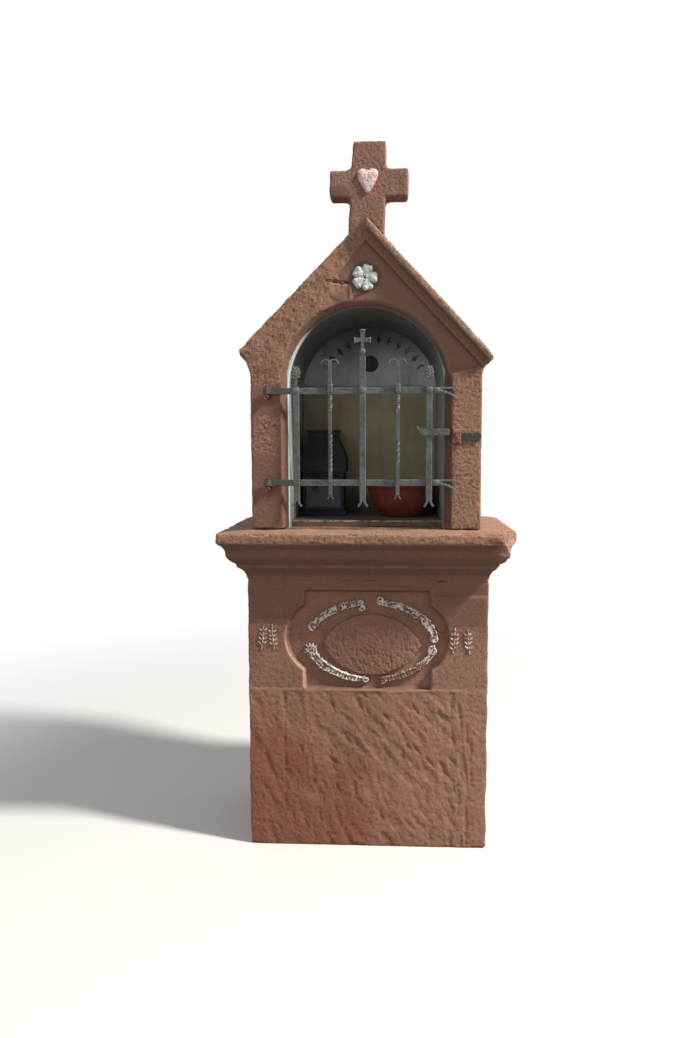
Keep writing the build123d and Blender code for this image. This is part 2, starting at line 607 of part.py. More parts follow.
def stone_cross():
    """The cross, its foot cut to sit astride the ridge."""
    back = CROSS_FRONT + CROSS_THICKNESS
    side = CROSS_FOOT_RIGHT - HOUSE_CENTRE_X
    spread = 2 * side
    foot = RIDGE_Z - side * roof_slope(RIGHT_EAVE_RISE)
    head = RIDGE_Z + CROSS_RISE
    arm_foot = RIDGE_Z + CROSS_ARM_BOTTOM
    shaft = Polyline(
        (CROSS_FOOT_LEFT, foot), (CROSS_FOOT_RIGHT, foot), (CROSS_HEAD_RIGHT, head),
        (CROSS_HEAD_LEFT, head), close=True,
    )
    arms = Polyline(
        (CROSS_ARM_LEFT, arm_foot), (CROSS_ARM_RIGHT, arm_foot),
        (CROSS_ARM_RIGHT, RIDGE_Z + CROSS_ARM_TOP_RIGHT), (CROSS_ARM_LEFT, RIDGE_Z + CROSS_ARM_TOP_LEFT),
        close=True,
    )
    cross = front_prism(Plane.XZ * (make_face(shaft) + make_face(arms)), CROSS_FRONT, back)
    above = cross.edges().filter_by(lambda e: e.center().Z > RIDGE_Z)
    cross = fillet(above.filter_by(Axis.Y), CROSS_EDGE_ROUND)
    roof = Polyline(
        (HOUSE_CENTRE_X - spread, RIDGE_Z - spread * roof_slope(LEFT_EAVE_RISE)), (HOUSE_CENTRE_X, RIDGE_Z),
        (HOUSE_CENTRE_X + spread, RIDGE_Z - spread * roof_slope(RIGHT_EAVE_RISE)), close=True,
    )
    return cross - front_prism(Plane.XZ * make_face(roof), HOUSE_FRONT, HOUSE_BACK)


def heart():
    """The raised heart on the crossing of the stone cross."""
    w, h = HEART_WIDTH / 2, HEART_HEIGHT / 2
    cleft = (0, h * HEART_CLEFT)
    shoulder = (w, h * HEART_SHOULDER)
    lobe = ThreePointArc(cleft, (w * HEART_LOBE_PEAK, h), shoulder)
    flank = ThreePointArc(shoulder, (w * HEART_FLANK_OUT, -h * HEART_FLANK_DOWN), (0, -h))
    right = [arc.position_at(i / HEART_STEPS) for arc in (lobe, flank) for i in range(HEART_STEPS)]
    left = [Vector(-point.X, point.Y) for point in right[:0:-1]]
    face = Plane.XZ * make_face(Polyline(*right, (0, -h), *left, close=True))
    solid = front_prism(face, CROSS_FRONT - HEART_RELIEF, CROSS_FRONT)
    solid = chamfer(solid.faces().sort_by(Axis.Y)[0].edges(), HEART_BEVEL)
    return Pos(HEART_X, 0, RIDGE_Z + HEART_ABOVE_RIDGE) * solid


def rosette():
    """A five-petalled flower on the sunk field of the gable, over the crown of the arch."""
    ring = ROSETTE_RADIUS - ROSETTE_PETAL_RADIUS
    face = Plane.XZ * RegularPolygon(ring, PETAL_SIDES)
    for i in range(ROSETTE_PETALS):
        turn = radians(i * 360 / ROSETTE_PETALS)
        petal = Plane.XZ * RegularPolygon(ROSETTE_PETAL_RADIUS, PETAL_SIDES)
        face += Pos(ring * cos(turn), 0, ring * sin(turn)) * petal
    flower = front_prism(face, -ROSETTE_RELIEF, 0)
    eye = Plane.XZ * RegularPolygon(ROSETTE_EYE_RADIUS, PETAL_SIDES)
    flower -= front_prism(eye, -ROSETTE_RELIEF, ROSETTE_EYE_DEPTH - ROSETTE_RELIEF)
    return Pos(ROSETTE_X, FIELD_BACK, RIDGE_Z - ROSETTE_BELOW_RIDGE) * flower


def niche_floor():
    x0, x1 = HOUSE_CENTRE_X - NICHE_RADIUS, HOUSE_CENTRE_X + NICHE_RADIUS
    return block(x0, x1, FLOOR_FRONT, PLASTER_FACE, CORNICE_TOP, FLOOR_TOP)


def lime_lining():
    """The lime plaster on the niche's two side walls and barrel vault."""
    shell = arch_void(ARCH_RADIUS, LINING_FRONT, PLASTER_FACE)
    return shell - arch_void(NICHE_RADIUS, LINING_FRONT, PLASTER_FACE)


def back_plaster():
    return arch_void(ARCH_RADIUS, PLASTER_FACE, NICHE_BACK)


def backdrop_board():
    half = NICHE_RADIUS - BACKDROP_SIDE_GAP
    x0, x1 = HOUSE_CENTRE_X - half, HOUSE_CENTRE_X + half
    top = FLOOR_TOP + BACKDROP_HEIGHT
    return block(x0, x1, PLASTER_FACE - BACKDROP_THICKNESS, PLASTER_FACE, FLOOR_TOP, top)


def wall_plate():
    disc = Rot(90, 0, 0) * Cylinder(PLATE_RADIUS, PLATE_THICKNESS)
    return Pos(0, PLASTER_FACE - PLATE_THICKNESS / 2, SPRING_Z + PLATE_ABOVE_SPRING) * disc


def lantern_block(width, z0, z1):
    """A square block on the lantern's axis."""
    return Pos(LANTERN_X, LANTERN_Y, (z0 + z1) / 2) * Box(width, width, z1 - z0)


def lantern_base():
    return lantern_block(LANTERN_WIDTH, FLOOR_TOP, BODY_BOTTOM)


def lantern_frame():
    """Four corner posts, tied by a ring at the top and the bottom."""
    light = BODY_WIDTH - 2 * LANTERN_POST
    low, high = BODY_BOTTOM + LANTERN_POST, BODY_TOP - LANTERN_POST
    middle = Pos(LANTERN_X, LANTERN_Y, (low + high) / 2)
    body = lantern_block(BODY_WIDTH, BODY_BOTTOM, BODY_TOP) - lantern_block(light, BODY_BOTTOM, BODY_TOP)
    return body - middle * Box(light, BODY_WIDTH, high - low) - middle * Box(BODY_WIDTH, light, high - low)


def lantern_glass():
    """Four panes inside the posts."""
    light = BODY_WIDTH - 2 * LANTERN_POST
    inner = light - 2 * LANTERN_GLASS
    return lantern_block(light, BODY_BOTTOM, BODY_TOP) - lantern_block(inner, BODY_BOTTOM, BODY_TOP)


def lantern_roof():
    """The hood: an upright skirt, then four sloping sides up to the neck."""
    skirt_top = BODY_TOP + LANTERN_SKIRT
    lean = degrees(atan((LANTERN_WIDTH - LANTERN_NECK) / 2 / LANTERN_TAPER))
    hood = extrude(Rectangle(LANTERN_WIDTH, LANTERN_WIDTH), amount=LANTERN_TAPER, taper=lean)
    return lantern_block(LANTERN_WIDTH, BODY_TOP, skirt_top) + Pos(LANTERN_X, LANTERN_Y, skirt_top) * hood


def lantern_cap():
    """A band round the neck under a flat lid."""
    band_top = NECK_Z + LANTERN_BAND_HEIGHT
    lid = lantern_block(LANTERN_CAP_WIDTH, band_top, band_top + LANTERN_CAP_THICKNESS)
    return lantern_block(LANTERN_NECK, NECK_Z, band_top) + lid


def candle():
    return Pos(LANTERN_X, LANTERN_Y, BODY_BOTTOM + CANDLE_HEIGHT / 2) * Cylinder(CANDLE_RADIUS, CANDLE_HEIGHT)


def bowl_ring(radius):
    """A round of the bowl, as a many-sided face about the radius."""
    return RegularPolygon(radius, BOWL_SIDES, major_radius=False)


def bowl_tier(low_radius, high_radius, z0, z1):
    """One band of the bowl between two levels, widening evenly upwards."""
    flare = degrees(atan((high_radius - low_radius) / (z1 - z0)))
    return Pos(0, 0, z1) * extrude(bowl_ring(high_radius), amount=z0 - z1, taper=flare)


def bowl_body(inset):
    """The bowl's solid form, outside for inset 0, else the hollow inside that wall."""
    foot, knee, rim = BOWL_FOOT_RADIUS - inset, BOWL_KNEE_RADIUS - inset, BOWL_RIM_RADIUS - inset
    lower = bowl_tier(foot, knee, inset, BOWL_KNEE_HEIGHT)
    return lower + bowl_tier(knee, rim, BOWL_KNEE_HEIGHT, BOWL_HEIGHT)


def planter_bowl():
    lip = extrude(bowl_ring(BOWL_RIM_RADIUS + BOWL_LIP), amount=BOWL_LIP)
    lip = Pos(0, 0, BOWL_HEIGHT - BOWL_LIP) * lip
    return Pos(BOWL_X, BOWL_Y, FLOOR_TOP) * (bowl_body(0) + lip - bowl_body(BOWL_WALL))


def planter_soil():
    reach, level = BOWL_RIM_RADIUS, BOWL_HEIGHT - SOIL_DROP
    below = block(-reach, reach, -reach, reach, 0, level)
    return Pos(BOWL_X, BOWL_Y, FLOOR_TOP) * (bowl_body(BOWL_WALL) & below)


def rail(z):
    """A flat rail with a rolled eye on the pintle. Its free end is split into two tongues."""
    half = RAIL_HEIGHT / 2
    bar = block(HINGE_X, RAIL_SPLIT_X, RAIL_FRONT, RAIL_BACK, z - half, z + half)
    upper = block(RAIL_SPLIT_X, RAIL_TIP_X, RAIL_FRONT, RAIL_BACK, z + half - TONGUE_WIDTH, z + half)
    root = half - TONGUE_WIDTH / 2
    lower = bent_bar((
        (RAIL_SPLIT_X - TONGUE_WIDTH, z - root),
        ((RAIL_SPLIT_X + RAIL_TIP_X) / 2 + TONGUE_WIDTH, z - root - TONGUE_WIDTH / 2),
        (RAIL_TIP_X, z - RAIL_TONGUE_DROP),
    ), TONGUE_WIDTH)
    bar += upper + front_prism(lower, RAIL_FRONT, RAIL_BACK)
    at = Pos(HINGE_X, HINGE_Y, z)
    eye = at * Cylinder(EYE_RADIUS, RAIL_HEIGHT)
    return bar + eye - at * Cylinder(PIN_RADIUS + PIN_CLEARANCE, RAIL_HEIGHT)


def forked_foot(x, z, reach, drop, width):
    """The front view of a bar's split foot: two prongs that curl outwards below z."""
    face = None
    for side in (-1, 1):
        prong = bent_bar((
            (x + side * width * PRONG_START_OUT, z + drop * PRONG_START_UP),
            (x + side * reach * PRONG_BEND_OUT, z - drop * PRONG_BEND_DOWN),
            (x + side * reach, z - drop),
        ), width)
        face = prong if face is None else face + prong
    return face


def flat_upright(x, top):
    """A flat upright riveted on the front of both rails, with a forked foot."""
    foot = LOWER_RAIL_Z - FOOT_BELOW_RAIL
    half = STILE_WIDTH / 2
    bar = block(x - half, x + half, STILE_FRONT, RAIL_FRONT, foot, top)
    bar = chamfer(bar.faces().sort_by(Axis.Y)[0].edges().filter_by(Axis.Z), FLAT_BAR_CHAMFER)
    fork = forked_foot(x, foot, FOOT_SPREAD, FOOT_LENGTH, PRONG_WIDTH)
    return bar + front_prism(fork, STILE_FRONT, RAIL_FRONT)


def twist(x, y, z, length, half_turns):
    """A length of square bar twisted through whole half turns, in flat facets, from z upwards."""
    steps = TWIST_STEPS * half_turns
    reach = TWIST_BAR / sqrt(2)

    def corner(step, side):
        turn = radians(45 + 90 * side + 180 * step / TWIST_STEPS)
        return Vector(x + reach * cos(turn), y + reach * sin(turn), z + length * step / steps)

    def facet(*points):
        return Face(Wire.make_polygon(points))

    skin = [facet(*(corner(step, side) for side in range(4))) for step in (0, steps)]
    for step in range(steps):
        for side in range(4):
            low, high = corner(step, side), corner(step + 1, side)
            next_low, next_high = corner(step, side + 1), corner(step + 1, side + 1)
            skin += [facet(low, next_low, next_high), facet(low, next_high, high)]
    return Solid(Shell(skin))


def twisted_bar(x, start, length, half_turns):
    """A thin square bar, twisted twice, collared at the upper rail, with split curled ends."""
    half = TWIST_BAR / 2
    y = RAIL_FRONT - half
    foot = LOWER_RAIL_Z - TWIST_BAR_BELOW_RAIL
    top = UPPER_RAIL_Z + TWIST_BAR_ABOVE_RAIL
    lower_twist = LOWER_RAIL_Z + start
    upper_twist = UPPER_RAIL_Z - TWIST_BELOW_UPPER_RAIL - UPPER_TWIST_LENGTH
    plain = (
        (foot, lower_twist),
        (lower_twist + length, upper_twist),
        (upper_twist + UPPER_TWIST_LENGTH, top),
    )
    bar = twist(x, y, lower_twist, length, half_turns)
    bar += twist(x, y, upper_twist, UPPER_TWIST_LENGTH, UPPER_TWIST_HALF_TURNS)
    for z0, z1 in plain:
        bar += block(x - half, x + half, y - half, y + half, z0, z1)
    collar_z = UPPER_RAIL_Z + COLLAR_ABOVE_RAIL
    collar = block(
        x - COLLAR_WIDTH / 2, x + COLLAR_WIDTH / 2, y - half - COLLAR_THICKNESS, RAIL_FRONT,
        collar_z - COLLAR_HEIGHT / 2, collar_z + COLLAR_HEIGHT / 2,
    )
    collar = chamfer(collar.faces().sort_by(Axis.Y)[0].edges(), COLLAR_CHAMFER)
    ends = forked_foot(x, foot, SPLIT_REACH, SPLIT_DROP, CURL_WIDTH)
    for side in (-1, 1):
        ends += bent_bar((
            (x, top - CURL_WIDTH / 2),
            (x + side * CURL_REACH * CURL_BEND, top + CURL_RISE - CURL_WIDTH),
            (x + side * CURL_REACH, top - CURL_DROP),
        ), CURL_WIDTH)
    return bar + collar + front_prism(ends, y - half / 2, y + half / 2)


def twisted_bars():
    return Compound(children=[
        twisted_bar(LEFT_TWIST_X, LEFT_TWIST_START, LEFT_TWIST_LENGTH, LEFT_TWIST_HALF_TURNS),
        twisted_bar(RIGHT_TWIST_X, RIGHT_TWIST_START, RIGHT_TWIST_LENGTH, RIGHT_TWIST_HALF_TURNS),
    ])


def leaf_finials():
    """A palmette on each side upright: an oval fan of seven lobes over a narrow neck."""
    out, up = LEAF_WIDTH / 2 - LEAF_LOBE_RADIUS, LEAF_HEIGHT / 2 - LEAF_LOBE_RADIUS
    fan_z = LEAF_NECK + LEAF_HEIGHT / 2
    step = (180 - 2 * LEAF_FIRST_LOBE) / (LEAF_LOBES - 1)
    turns = [radians(LEAF_FIRST_LOBE + step * i) for i in range(LEAF_LOBES)]
    spots = [(out * cos(turn), fan_z + up * sin(turn)) for turn in turns]
    face = Plane.XZ * make_face(Polyline(*spots, close=True))
    face += Pos(0, 0, fan_z / 2) * (Plane.XZ * Rectangle(LEAF_NECK_WIDTH, fan_z))
    for x, z in spots:
        face += Pos(x, 0, z) * lobe_face(LEAF_LOBE_RADIUS)
    leaf = Pos(0, 0, UPPER_RAIL_Z + SIDE_BAR_ABOVE_RAIL) * front_prism(face, STILE_FRONT, RAIL_FRONT)
    return Compound(children=[Pos(x, 0, 0) * leaf for x in (HINGE_STILE_X, LATCH_STILE_X)])


def cross_finial():
    """The little cross with flared arms over a knob, on the middle upright."""
    axis = FINIAL_CROSS_AXIS
    neck, flare = FINIAL_ARM_NECK / 2, FINIAL_ARM_FLARE / 2
    top, half = FINIAL_CROSS_HEIGHT, FINIAL_CROSS_SPAN / 2
    upright = Polyline(
        (-neck, 0), (neck, 0), (neck, axis), (flare, top), (-flare, top), (-neck, axis), close=True,
    )
    arms = Polyline(
        (-half, axis - flare), (0, axis - neck), (half, axis - flare),
        (half, axis + flare), (0, axis + neck), (-half, axis + flare), close=True,
    )
    knob = Polyline(
        (0, 0), (FINIAL_KNOB_WIDTH / 2, FINIAL_KNOB_HEIGHT / 2), (0, FINIAL_KNOB_HEIGHT),
        (-FINIAL_KNOB_WIDTH / 2, FINIAL_KNOB_HEIGHT / 2), close=True,
    )
    face = Plane.XZ * (make_face(upright) + make_face(arms) + make_face(knob))
    place = Pos(CENTRE_BAR_X, 0, UPPER_RAIL_Z + CENTRE_BAR_ABOVE_RAIL)
    return place * front_prism(face, STILE_FRONT, RAIL_FRONT)


def latch_strap():
    """The strap across the latch upright, its tip curled up, stopping just short of the keeper."""
    half = STRAP_WIDTH / 2
    end = KEEPER_MORTAR_X - KEEPER_MORTAR_WIDTH / 2 - STRAP_CLEARANCE
    face = Plane.XZ * make_face(Polyline(
        (STRAP_TIP_X, half), (STRAP_TIP_X - STRAP_TIP_CURL, half + STRAP_TIP_CURL),
        (STRAP_TIP_X - STRAP_TIP_CURL, half), (STRAP_TIP_X, -half / 2),
        (STRAP_TIP_X + STRAP_TIP_CURL, -half), (end, -half), (end, half), close=True,
    ))
    strap = front_prism(face, STILE_FRONT - STRAP_THICKNESS, STILE_FRONT)
    return Pos(0, 0, LATCH_Z) * strap


def keeper_mortar():
    """The lump of red mortar that beds the keeper on the right pier."""
    half_w, half_h = KEEPER_MORTAR_WIDTH / 2, KEEPER_MORTAR_HEIGHT / 2
    z = LATCH_Z - KEEPER_DROP
    lump = block(
        KEEPER_MORTAR_X - half_w, KEEPER_MORTAR_X + half_w,
        HOUSE_FRONT - KEEPER_MORTAR_RELIEF, HOUSE_FRONT, z - half_h, z + half_h,
    )
    return fillet(lump.faces().sort_by(Axis.Y)[0].edges(), KEEPER_MORTAR_ROUND)


def keeper_strap():
    """The keeper's strap, from the mortar across the pier's face to a rounded end at its corner."""
    x0, x1 = KEEPER_MORTAR_X + KEEPER_MORTAR_WIDTH / 2, HOUSE_RIGHT - KEEPER_END_MARGIN
    z = LATCH_Z - KEEPER_DROP
    low, high = z - KEEPER_HEIGHT / 2, z + KEEPER_HEIGHT / 2
    strap = block(x0, x1, HOUSE_FRONT - STRAP_THICKNESS, HOUSE_FRONT, low, high)
    end = strap.faces().sort_by(Axis.X)[-1]
    return fillet(end.edges().filter_by(Axis.Y), KEEPER_END_ROUND)


def pintle(z):
    """A hinge pin with its square shank leaded into the left pier."""
    shank_top = z - RAIL_HEIGHT / 2 - PINTLE_SHOULDER_GAP
    side = PIN_RADIUS
    shank = block(
        HINGE_X - side, HINGE_X + side, HINGE_Y - side, HOUSE_FRONT + PINTLE_EMBEDMENT,
        shank_top - 2 * side, shank_top,
    )
    pin_top = z + RAIL_HEIGHT / 2 + PIN_ABOVE_EYE
    pin = Pos(HINGE_X, HINGE_Y, (shank_top + pin_top) / 2) * Cylinder(PIN_RADIUS, pin_top - shank_top)
    return shank + pin


def masonry():
    """The stone pieces, with the sockets of the pintles cut in the left pier."""
    write("pedestal_block", pedestal_block())
    write("medallion", medallion())
    write("cartouche_scrolls", cartouche_scrolls())
    write("cornice", cornice())
    lower, upper = pintle(LOWER_RAIL_Z), pintle(UPPER_RAIL_Z)
    write("left_pier", pier(-1) - lower - upper)
    write("lower_pintle", lower)
    write("upper_pintle", upper)
    write("right_pier", pier(1))
    write("back_wall", back_wall())
    write("gable_stone", gable_stone())
    write("stone_cross", stone_cross())
    write("heart", heart())
    write("rosette", rosette())
    write("keeper_mortar", keeper_mortar())
    write("keeper_strap", keeper_strap())


def niche_contents():
    """The plaster, board, plate, lantern and planter."""
    write("niche_floor", niche_floor())
    write("lime_lining", lime_lining())
    write("back_plaster", back_plaster())
    write("backdrop_board", backdrop_board())
    write("wall_plate", wall_plate())
    write("lantern_base", lantern_base())
    write("lantern_frame", lantern_frame())
    write("lantern_glass", lantern_glass())
    write("lantern_roof", lantern_roof())
    write("lantern_cap", lantern_cap())
    write("candle", candle())
    write("planter_bowl", planter_bowl())
    write("planter_soil", planter_soil())


def gate():
    """The ironwork that swings on the pintles."""
    write("lower_rail", rail(LOWER_RAIL_Z))
    write("upper_rail", rail(UPPER_RAIL_Z))
    side_top = UPPER_RAIL_Z + SIDE_BAR_ABOVE_RAIL
    write("hinge_upright", flat_upright(HINGE_STILE_X, side_top))
    write("centre_upright", flat_upright(CENTRE_BAR_X, UPPER_RAIL_Z + CENTRE_BAR_ABOVE_RAIL))
    write("latch_upright", flat_upright(LATCH_STILE_X, side_top))
    write("twisted_bars", twisted_bars())
    write("leaf_finials", leaf_finials())
    write("cross_finial", cross_finial())
    write("latch_strap", latch_strap())


os.makedirs("parts", exist_ok=True)
masonry()
niche_contents()
gate()
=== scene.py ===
# %% [markdown]
# # A sandstone wayside shrine
# The frame holds every piece at its real size and place. This lesson gives each piece the surface
# that a mason, a smith or the weather left on it. Stones become dense, worn copies of themselves.
# Carving is built from small lumps that are fused, and iron is hammered and rusted.

# %% Load the frame
import json
from contextlib import contextmanager
from functools import reduce
from math import atan2, cos, pi, radians, sin

import bmesh
import bpy
from mathutils import Matrix, Vector, noise

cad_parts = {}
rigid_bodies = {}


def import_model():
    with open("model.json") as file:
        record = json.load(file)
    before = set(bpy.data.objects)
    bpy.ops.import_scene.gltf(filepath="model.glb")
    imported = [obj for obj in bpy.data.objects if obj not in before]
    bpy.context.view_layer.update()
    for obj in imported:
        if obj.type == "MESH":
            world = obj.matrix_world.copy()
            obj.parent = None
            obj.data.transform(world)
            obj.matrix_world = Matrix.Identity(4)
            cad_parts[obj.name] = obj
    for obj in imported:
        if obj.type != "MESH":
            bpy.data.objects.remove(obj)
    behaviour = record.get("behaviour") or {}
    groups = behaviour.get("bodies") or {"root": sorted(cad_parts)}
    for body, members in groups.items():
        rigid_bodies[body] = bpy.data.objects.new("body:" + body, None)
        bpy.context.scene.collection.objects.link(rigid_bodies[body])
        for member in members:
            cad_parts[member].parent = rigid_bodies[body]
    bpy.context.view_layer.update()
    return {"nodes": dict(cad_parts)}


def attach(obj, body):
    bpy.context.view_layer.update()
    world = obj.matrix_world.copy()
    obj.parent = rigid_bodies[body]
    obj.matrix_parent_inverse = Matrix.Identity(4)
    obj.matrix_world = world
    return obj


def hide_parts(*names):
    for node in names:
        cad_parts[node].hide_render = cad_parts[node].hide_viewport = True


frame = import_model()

CAD = frame["nodes"]
MM = 0.001
print("nodes in the frame:", len(CAD))

# %% [markdown]
# ## The camera
# The shrine was seen from its own height, a little to the right of its middle. A camera is a
# position, three turns and a focal length. They were fitted to the corners of the cornice and the
# pedestal, so that the picture has the same perspective without any lens shift.

# %% Place the camera
def linked(name, data):
    """A new object in the scene."""
    piece = bpy.data.objects.new(name, data)
    bpy.context.scene.collection.objects.link(piece)
    return piece


CAMERA_PLACE = Vector((0.0765, -2.636, 1.2514))
CAMERA_YAW, CAMERA_PITCH, CAMERA_ROLL = 0.0528, 0.0911, -0.0033
IMAGE_HEIGHT_PX, FOCAL_PX, SENSOR_MM = 1038, 807, 36.0

camera = linked("camera", bpy.data.cameras.new("camera"))
camera.data.sensor_width = SENSOR_MM
camera.data.lens = SENSOR_MM * FOCAL_PX / IMAGE_HEIGHT_PX
turn = Matrix.Rotation(CAMERA_YAW, 4, "Z") @ Matrix.Rotation(pi / 2 - CAMERA_PITCH, 4, "X")
camera.matrix_world = Matrix.Translation(CAMERA_PLACE) @ turn @ Matrix.Rotation(CAMERA_ROLL, 4, "Z")
bpy.context.scene.camera = camera
bpy.context.scene.view_settings.view_transform = "Standard"
print("lens:", round(camera.data.lens, 2), "mm")

# %% [markdown]
# ## A small kit for node materials
# Every finish here is a few textures mixed in the same way: a noise is stretched, squeezed between
# two thresholds and used to mix two colours or to push the bump. Wrapping the nodes in one class
# keeps each recipe to a few lines that read like the finish itself.

# %% Finish: a material built in words
def wire(tree, value, socket):
    """Links a node's output, or writes a plain number or colour."""
    if isinstance(value, bpy.types.NodeSocket):
        tree.links.new(value, socket)
    elif socket.type == "RGBA" and len(value) == 3:
        socket.default_value = (*value, 1.0)
    else:
        socket.default_value = value


def new_node(tree, kind, inputs=None, **settings):
    """A node with its settings made and its inputs wired. What comes back is its outputs."""
    node = tree.nodes.new("ShaderNode" + kind)
    for name, value in settings.items():
        setattr(node, name, value)
    for name, value in (inputs or {}).items():
        wire(tree, value, node.inputs[name])
    return node.outputs


class Finish:
    """One procedural material on the object's own coordinates."""

    def __init__(self, name, roughness=0.9, metallic=0.0):
        self.material = bpy.data.materials.new(name)
        self.material.use_nodes = True
        self.tree = self.material.node_tree
        self.shader = self.tree.nodes["Principled BSDF"]
        self.shader.inputs["Roughness"].default_value = roughness
        self.shader.inputs["Metallic"].default_value = metallic
        self.place = self.node("TexCoord")["Object"]

    def node(self, kind, inputs=None, **settings):
        return new_node(self.tree, kind, inputs, **settings)

    def mapped(self, stretch, shift=(0, 0, 0)):
        return self.node("Mapping", {"Vector": self.place, "Scale": stretch, "Location": shift})["Vector"]

    def drawn_out(self, longer, lean):
        """Coordinates drawn out along a line in the front that leans from the level by that angle."""
        inputs = {"Vector": self.place, "Rotation": (0, -lean, 0), "Scale": (longer, 1, 1)}
        return self.node("Mapping", inputs, vector_type="TEXTURE")["Vector"]

    def noise(self, scale, detail=4.0, rough=0.55, stretch=(1, 1, 1), shift=(0, 0, 0), along=None):
        place = self.drawn_out(*along) if along else self.mapped(stretch, shift)
        inputs = {"Vector": place, "Scale": scale, "Detail": detail, "Roughness": rough}
        return self.node("TexNoise", inputs)["Fac"]

    def between(self, value, low, high):
        """0 under low, 1 over high, smooth in between."""
        inputs = {"Value": value, "From Min": low, "From Max": high}
        return self.node("MapRange", inputs, interpolation_type="SMOOTHSTEP")["Result"]

    def maths(self, operation, a, b=0.5):
        return self.node("Math", {0: a, 1: b}, operation=operation)["Value"]

    def length(self, place):
        return self.node("VectorMath", {0: place}, operation="LENGTH")["Value"]

    def near(self, centre, reach, core=0.4):
        """1 round a place, falling to 0 at that reach along each axis."""
        stretch = [1 / r for r in reach]
        shift = [-c * k for c, k in zip(centre, stretch)]
        return self.between(self.length(self.mapped(stretch, shift)), 1.0, core)

    def times(self, *values):
        return reduce(lambda a, b: self.maths("MULTIPLY", a, b), values)

    def plus(self, *values):
        return reduce(lambda a, b: self.maths("ADD", a, b), values)

    def axis(self, name):
        return self.node("SeparateXYZ", {"Vector": self.place})[name]

    def facing(self, name):
        """How far the surface faces along an axis of the object."""
        return self.node("SeparateXYZ", {"Vector": self.node("NewGeometry")["Normal"]})[name]

    def stored(self, name):
        """A value that the modelling code kept on the mesh."""
        return self.node("Attribute", attribute_name=name)["Fac"]

    def mix(self, share, a, b):
        return self.node("Mix", {"Factor": share, 6: a, 7: b}, data_type="RGBA")[2]

    def ground(self, share, a, b):
        """The first colour of the piece, a blend of two."""
        self.body = self.mix(share, a, b)

    def lay(self, colour, share, *masks):
        """Another colour over what is there, up to that share where all the masks are high."""
        self.body = self.mix(self.times(*masks, share), self.body, colour)

    def patches(self, low, high, *noise, **more):
        """A noise squeezed between two thresholds."""
        return self.between(self.noise(*noise, **more), low, high)

    def span(self, axis, low, high):
        return self.between(self.axis(axis), low, high)

    def towards(self, axis, low, high):
        return self.between(self.facing(axis), low, high)

    def feed(self, name, value):
        wire(self.tree, value, self.shader.inputs[name])

    def colour(self, value=None):
        """Puts a colour, or the one laid so far, on the piece."""
        self.feed("Base Color", value or self.body)

    def roughness(self, value, low, high):
        spread = self.node("MapRange", {"Value": value, "To Min": low, "To Max": high})
        self.feed("Roughness", spread["Result"])

    def bump(self, height, distance, strength=1.0):
        """Bumps stack: each new one is laid over the last."""
        inputs = {"Height": height, "Distance": distance, "Strength": strength}
        under = self.shader.inputs["Normal"]
        if under.links:
            inputs["Normal"] = under.links[0].from_socket
        self.feed("Normal", self.node("Bump", inputs)["Normal"])


def srgb(red, green, blue):
    """A colour as seen on a screen, 0 to 255, as the shader wants it."""
    shares = [c / 255 for c in (red, green, blue)]
    return tuple(((c + 0.055) / 1.055) ** 2.4 if c > 0.04045 else c / 12.92 for c in shares)


print("a mid sandstone is", [round(c, 3) for c in srgb(172, 124, 104)])

# %% [markdown]
# ## Floor, background and light
# The stage is plain: a pale floor that keeps the shadow near the shrine and fades to white further
# out, and a world that is white only to the camera and to mirror rays. One lamp stands high at the
# right, where the sun was, and grazes the front so that every tool mark shows. A weak one in front
# and the world fill the shadows, and the floor throws back only as much light as grass and paving.

# %% Stage and lamps
def as_mesh(name, work):
    """A new mesh from a bmesh that is done."""
    mesh = bpy.data.meshes.new(name)
    work.to_mesh(mesh)
    work.free()
    return mesh


def stage_floor():
    plane = bmesh.new()
    bmesh.ops.create_grid(plane, x_segments=1, y_segments=1, size=30.0)
    mesh = as_mesh("floor", plane)
    linked("floor", mesh)
    paint = Finish("pale_floor", roughness=0.95)
    rays = paint.node("LightPath")
    paint.colour(paint.mix(rays["Is Diffuse Ray"], (0.78, 0.77, 0.75), (0.22, 0.21, 0.19)))
    far = paint.between(paint.length(paint.place), 1.2, 3.4)
    inputs = {"Fac": paint.times(far, rays["Is Camera Ray"]), 1: paint.shader.outputs["BSDF"]}
    inputs[2] = paint.node("Emission")["Emission"]
    blend = paint.node("MixShader", inputs)["Shader"]
    wire(paint.tree, blend, paint.tree.nodes["Material Output"].inputs["Surface"])
    mesh.materials.append(paint.material)


def white_world(fill):
    world = bpy.data.worlds.new("studio")
    bpy.context.scene.world = world
    world.use_nodes = True
    tree = world.node_tree
    soft = tree.nodes["Background"]
    soft.inputs["Color"].default_value = (0.97, 0.98, 1.0, 1.0)
    soft.inputs["Strength"].default_value = fill
    white = new_node(tree, "Background", {"Color": (1.0, 1.0, 1.0)})["Background"]
    rays = new_node(tree, "LightPath")
    seen = rays["Is Camera Ray"]
    for other in ("Is Glossy Ray", "Is Transmission Ray"):
        seen = new_node(tree, "Math", {0: seen, 1: rays[other]}, operation="MAXIMUM")["Value"]
    blend = new_node(tree, "MixShader", {"Fac": seen, 1: soft.outputs["Background"], 2: white})["Shader"]
    wire(tree, blend, tree.nodes["World Output"].inputs["Surface"])


def soft_lamp(name, place, aim, size, watts, tint=(1, 1, 1)):
    lamp = linked(name, bpy.data.lights.new(name, "AREA"))
    lamp.data.shape = "DISK"
    lamp.data.size = size
    lamp.data.energy = watts
    lamp.data.color = tint
    lamp.location = place
    lamp.rotation_euler = (Vector(aim) - Vector(place)).to_track_quat("-Z", "Y").to_euler()


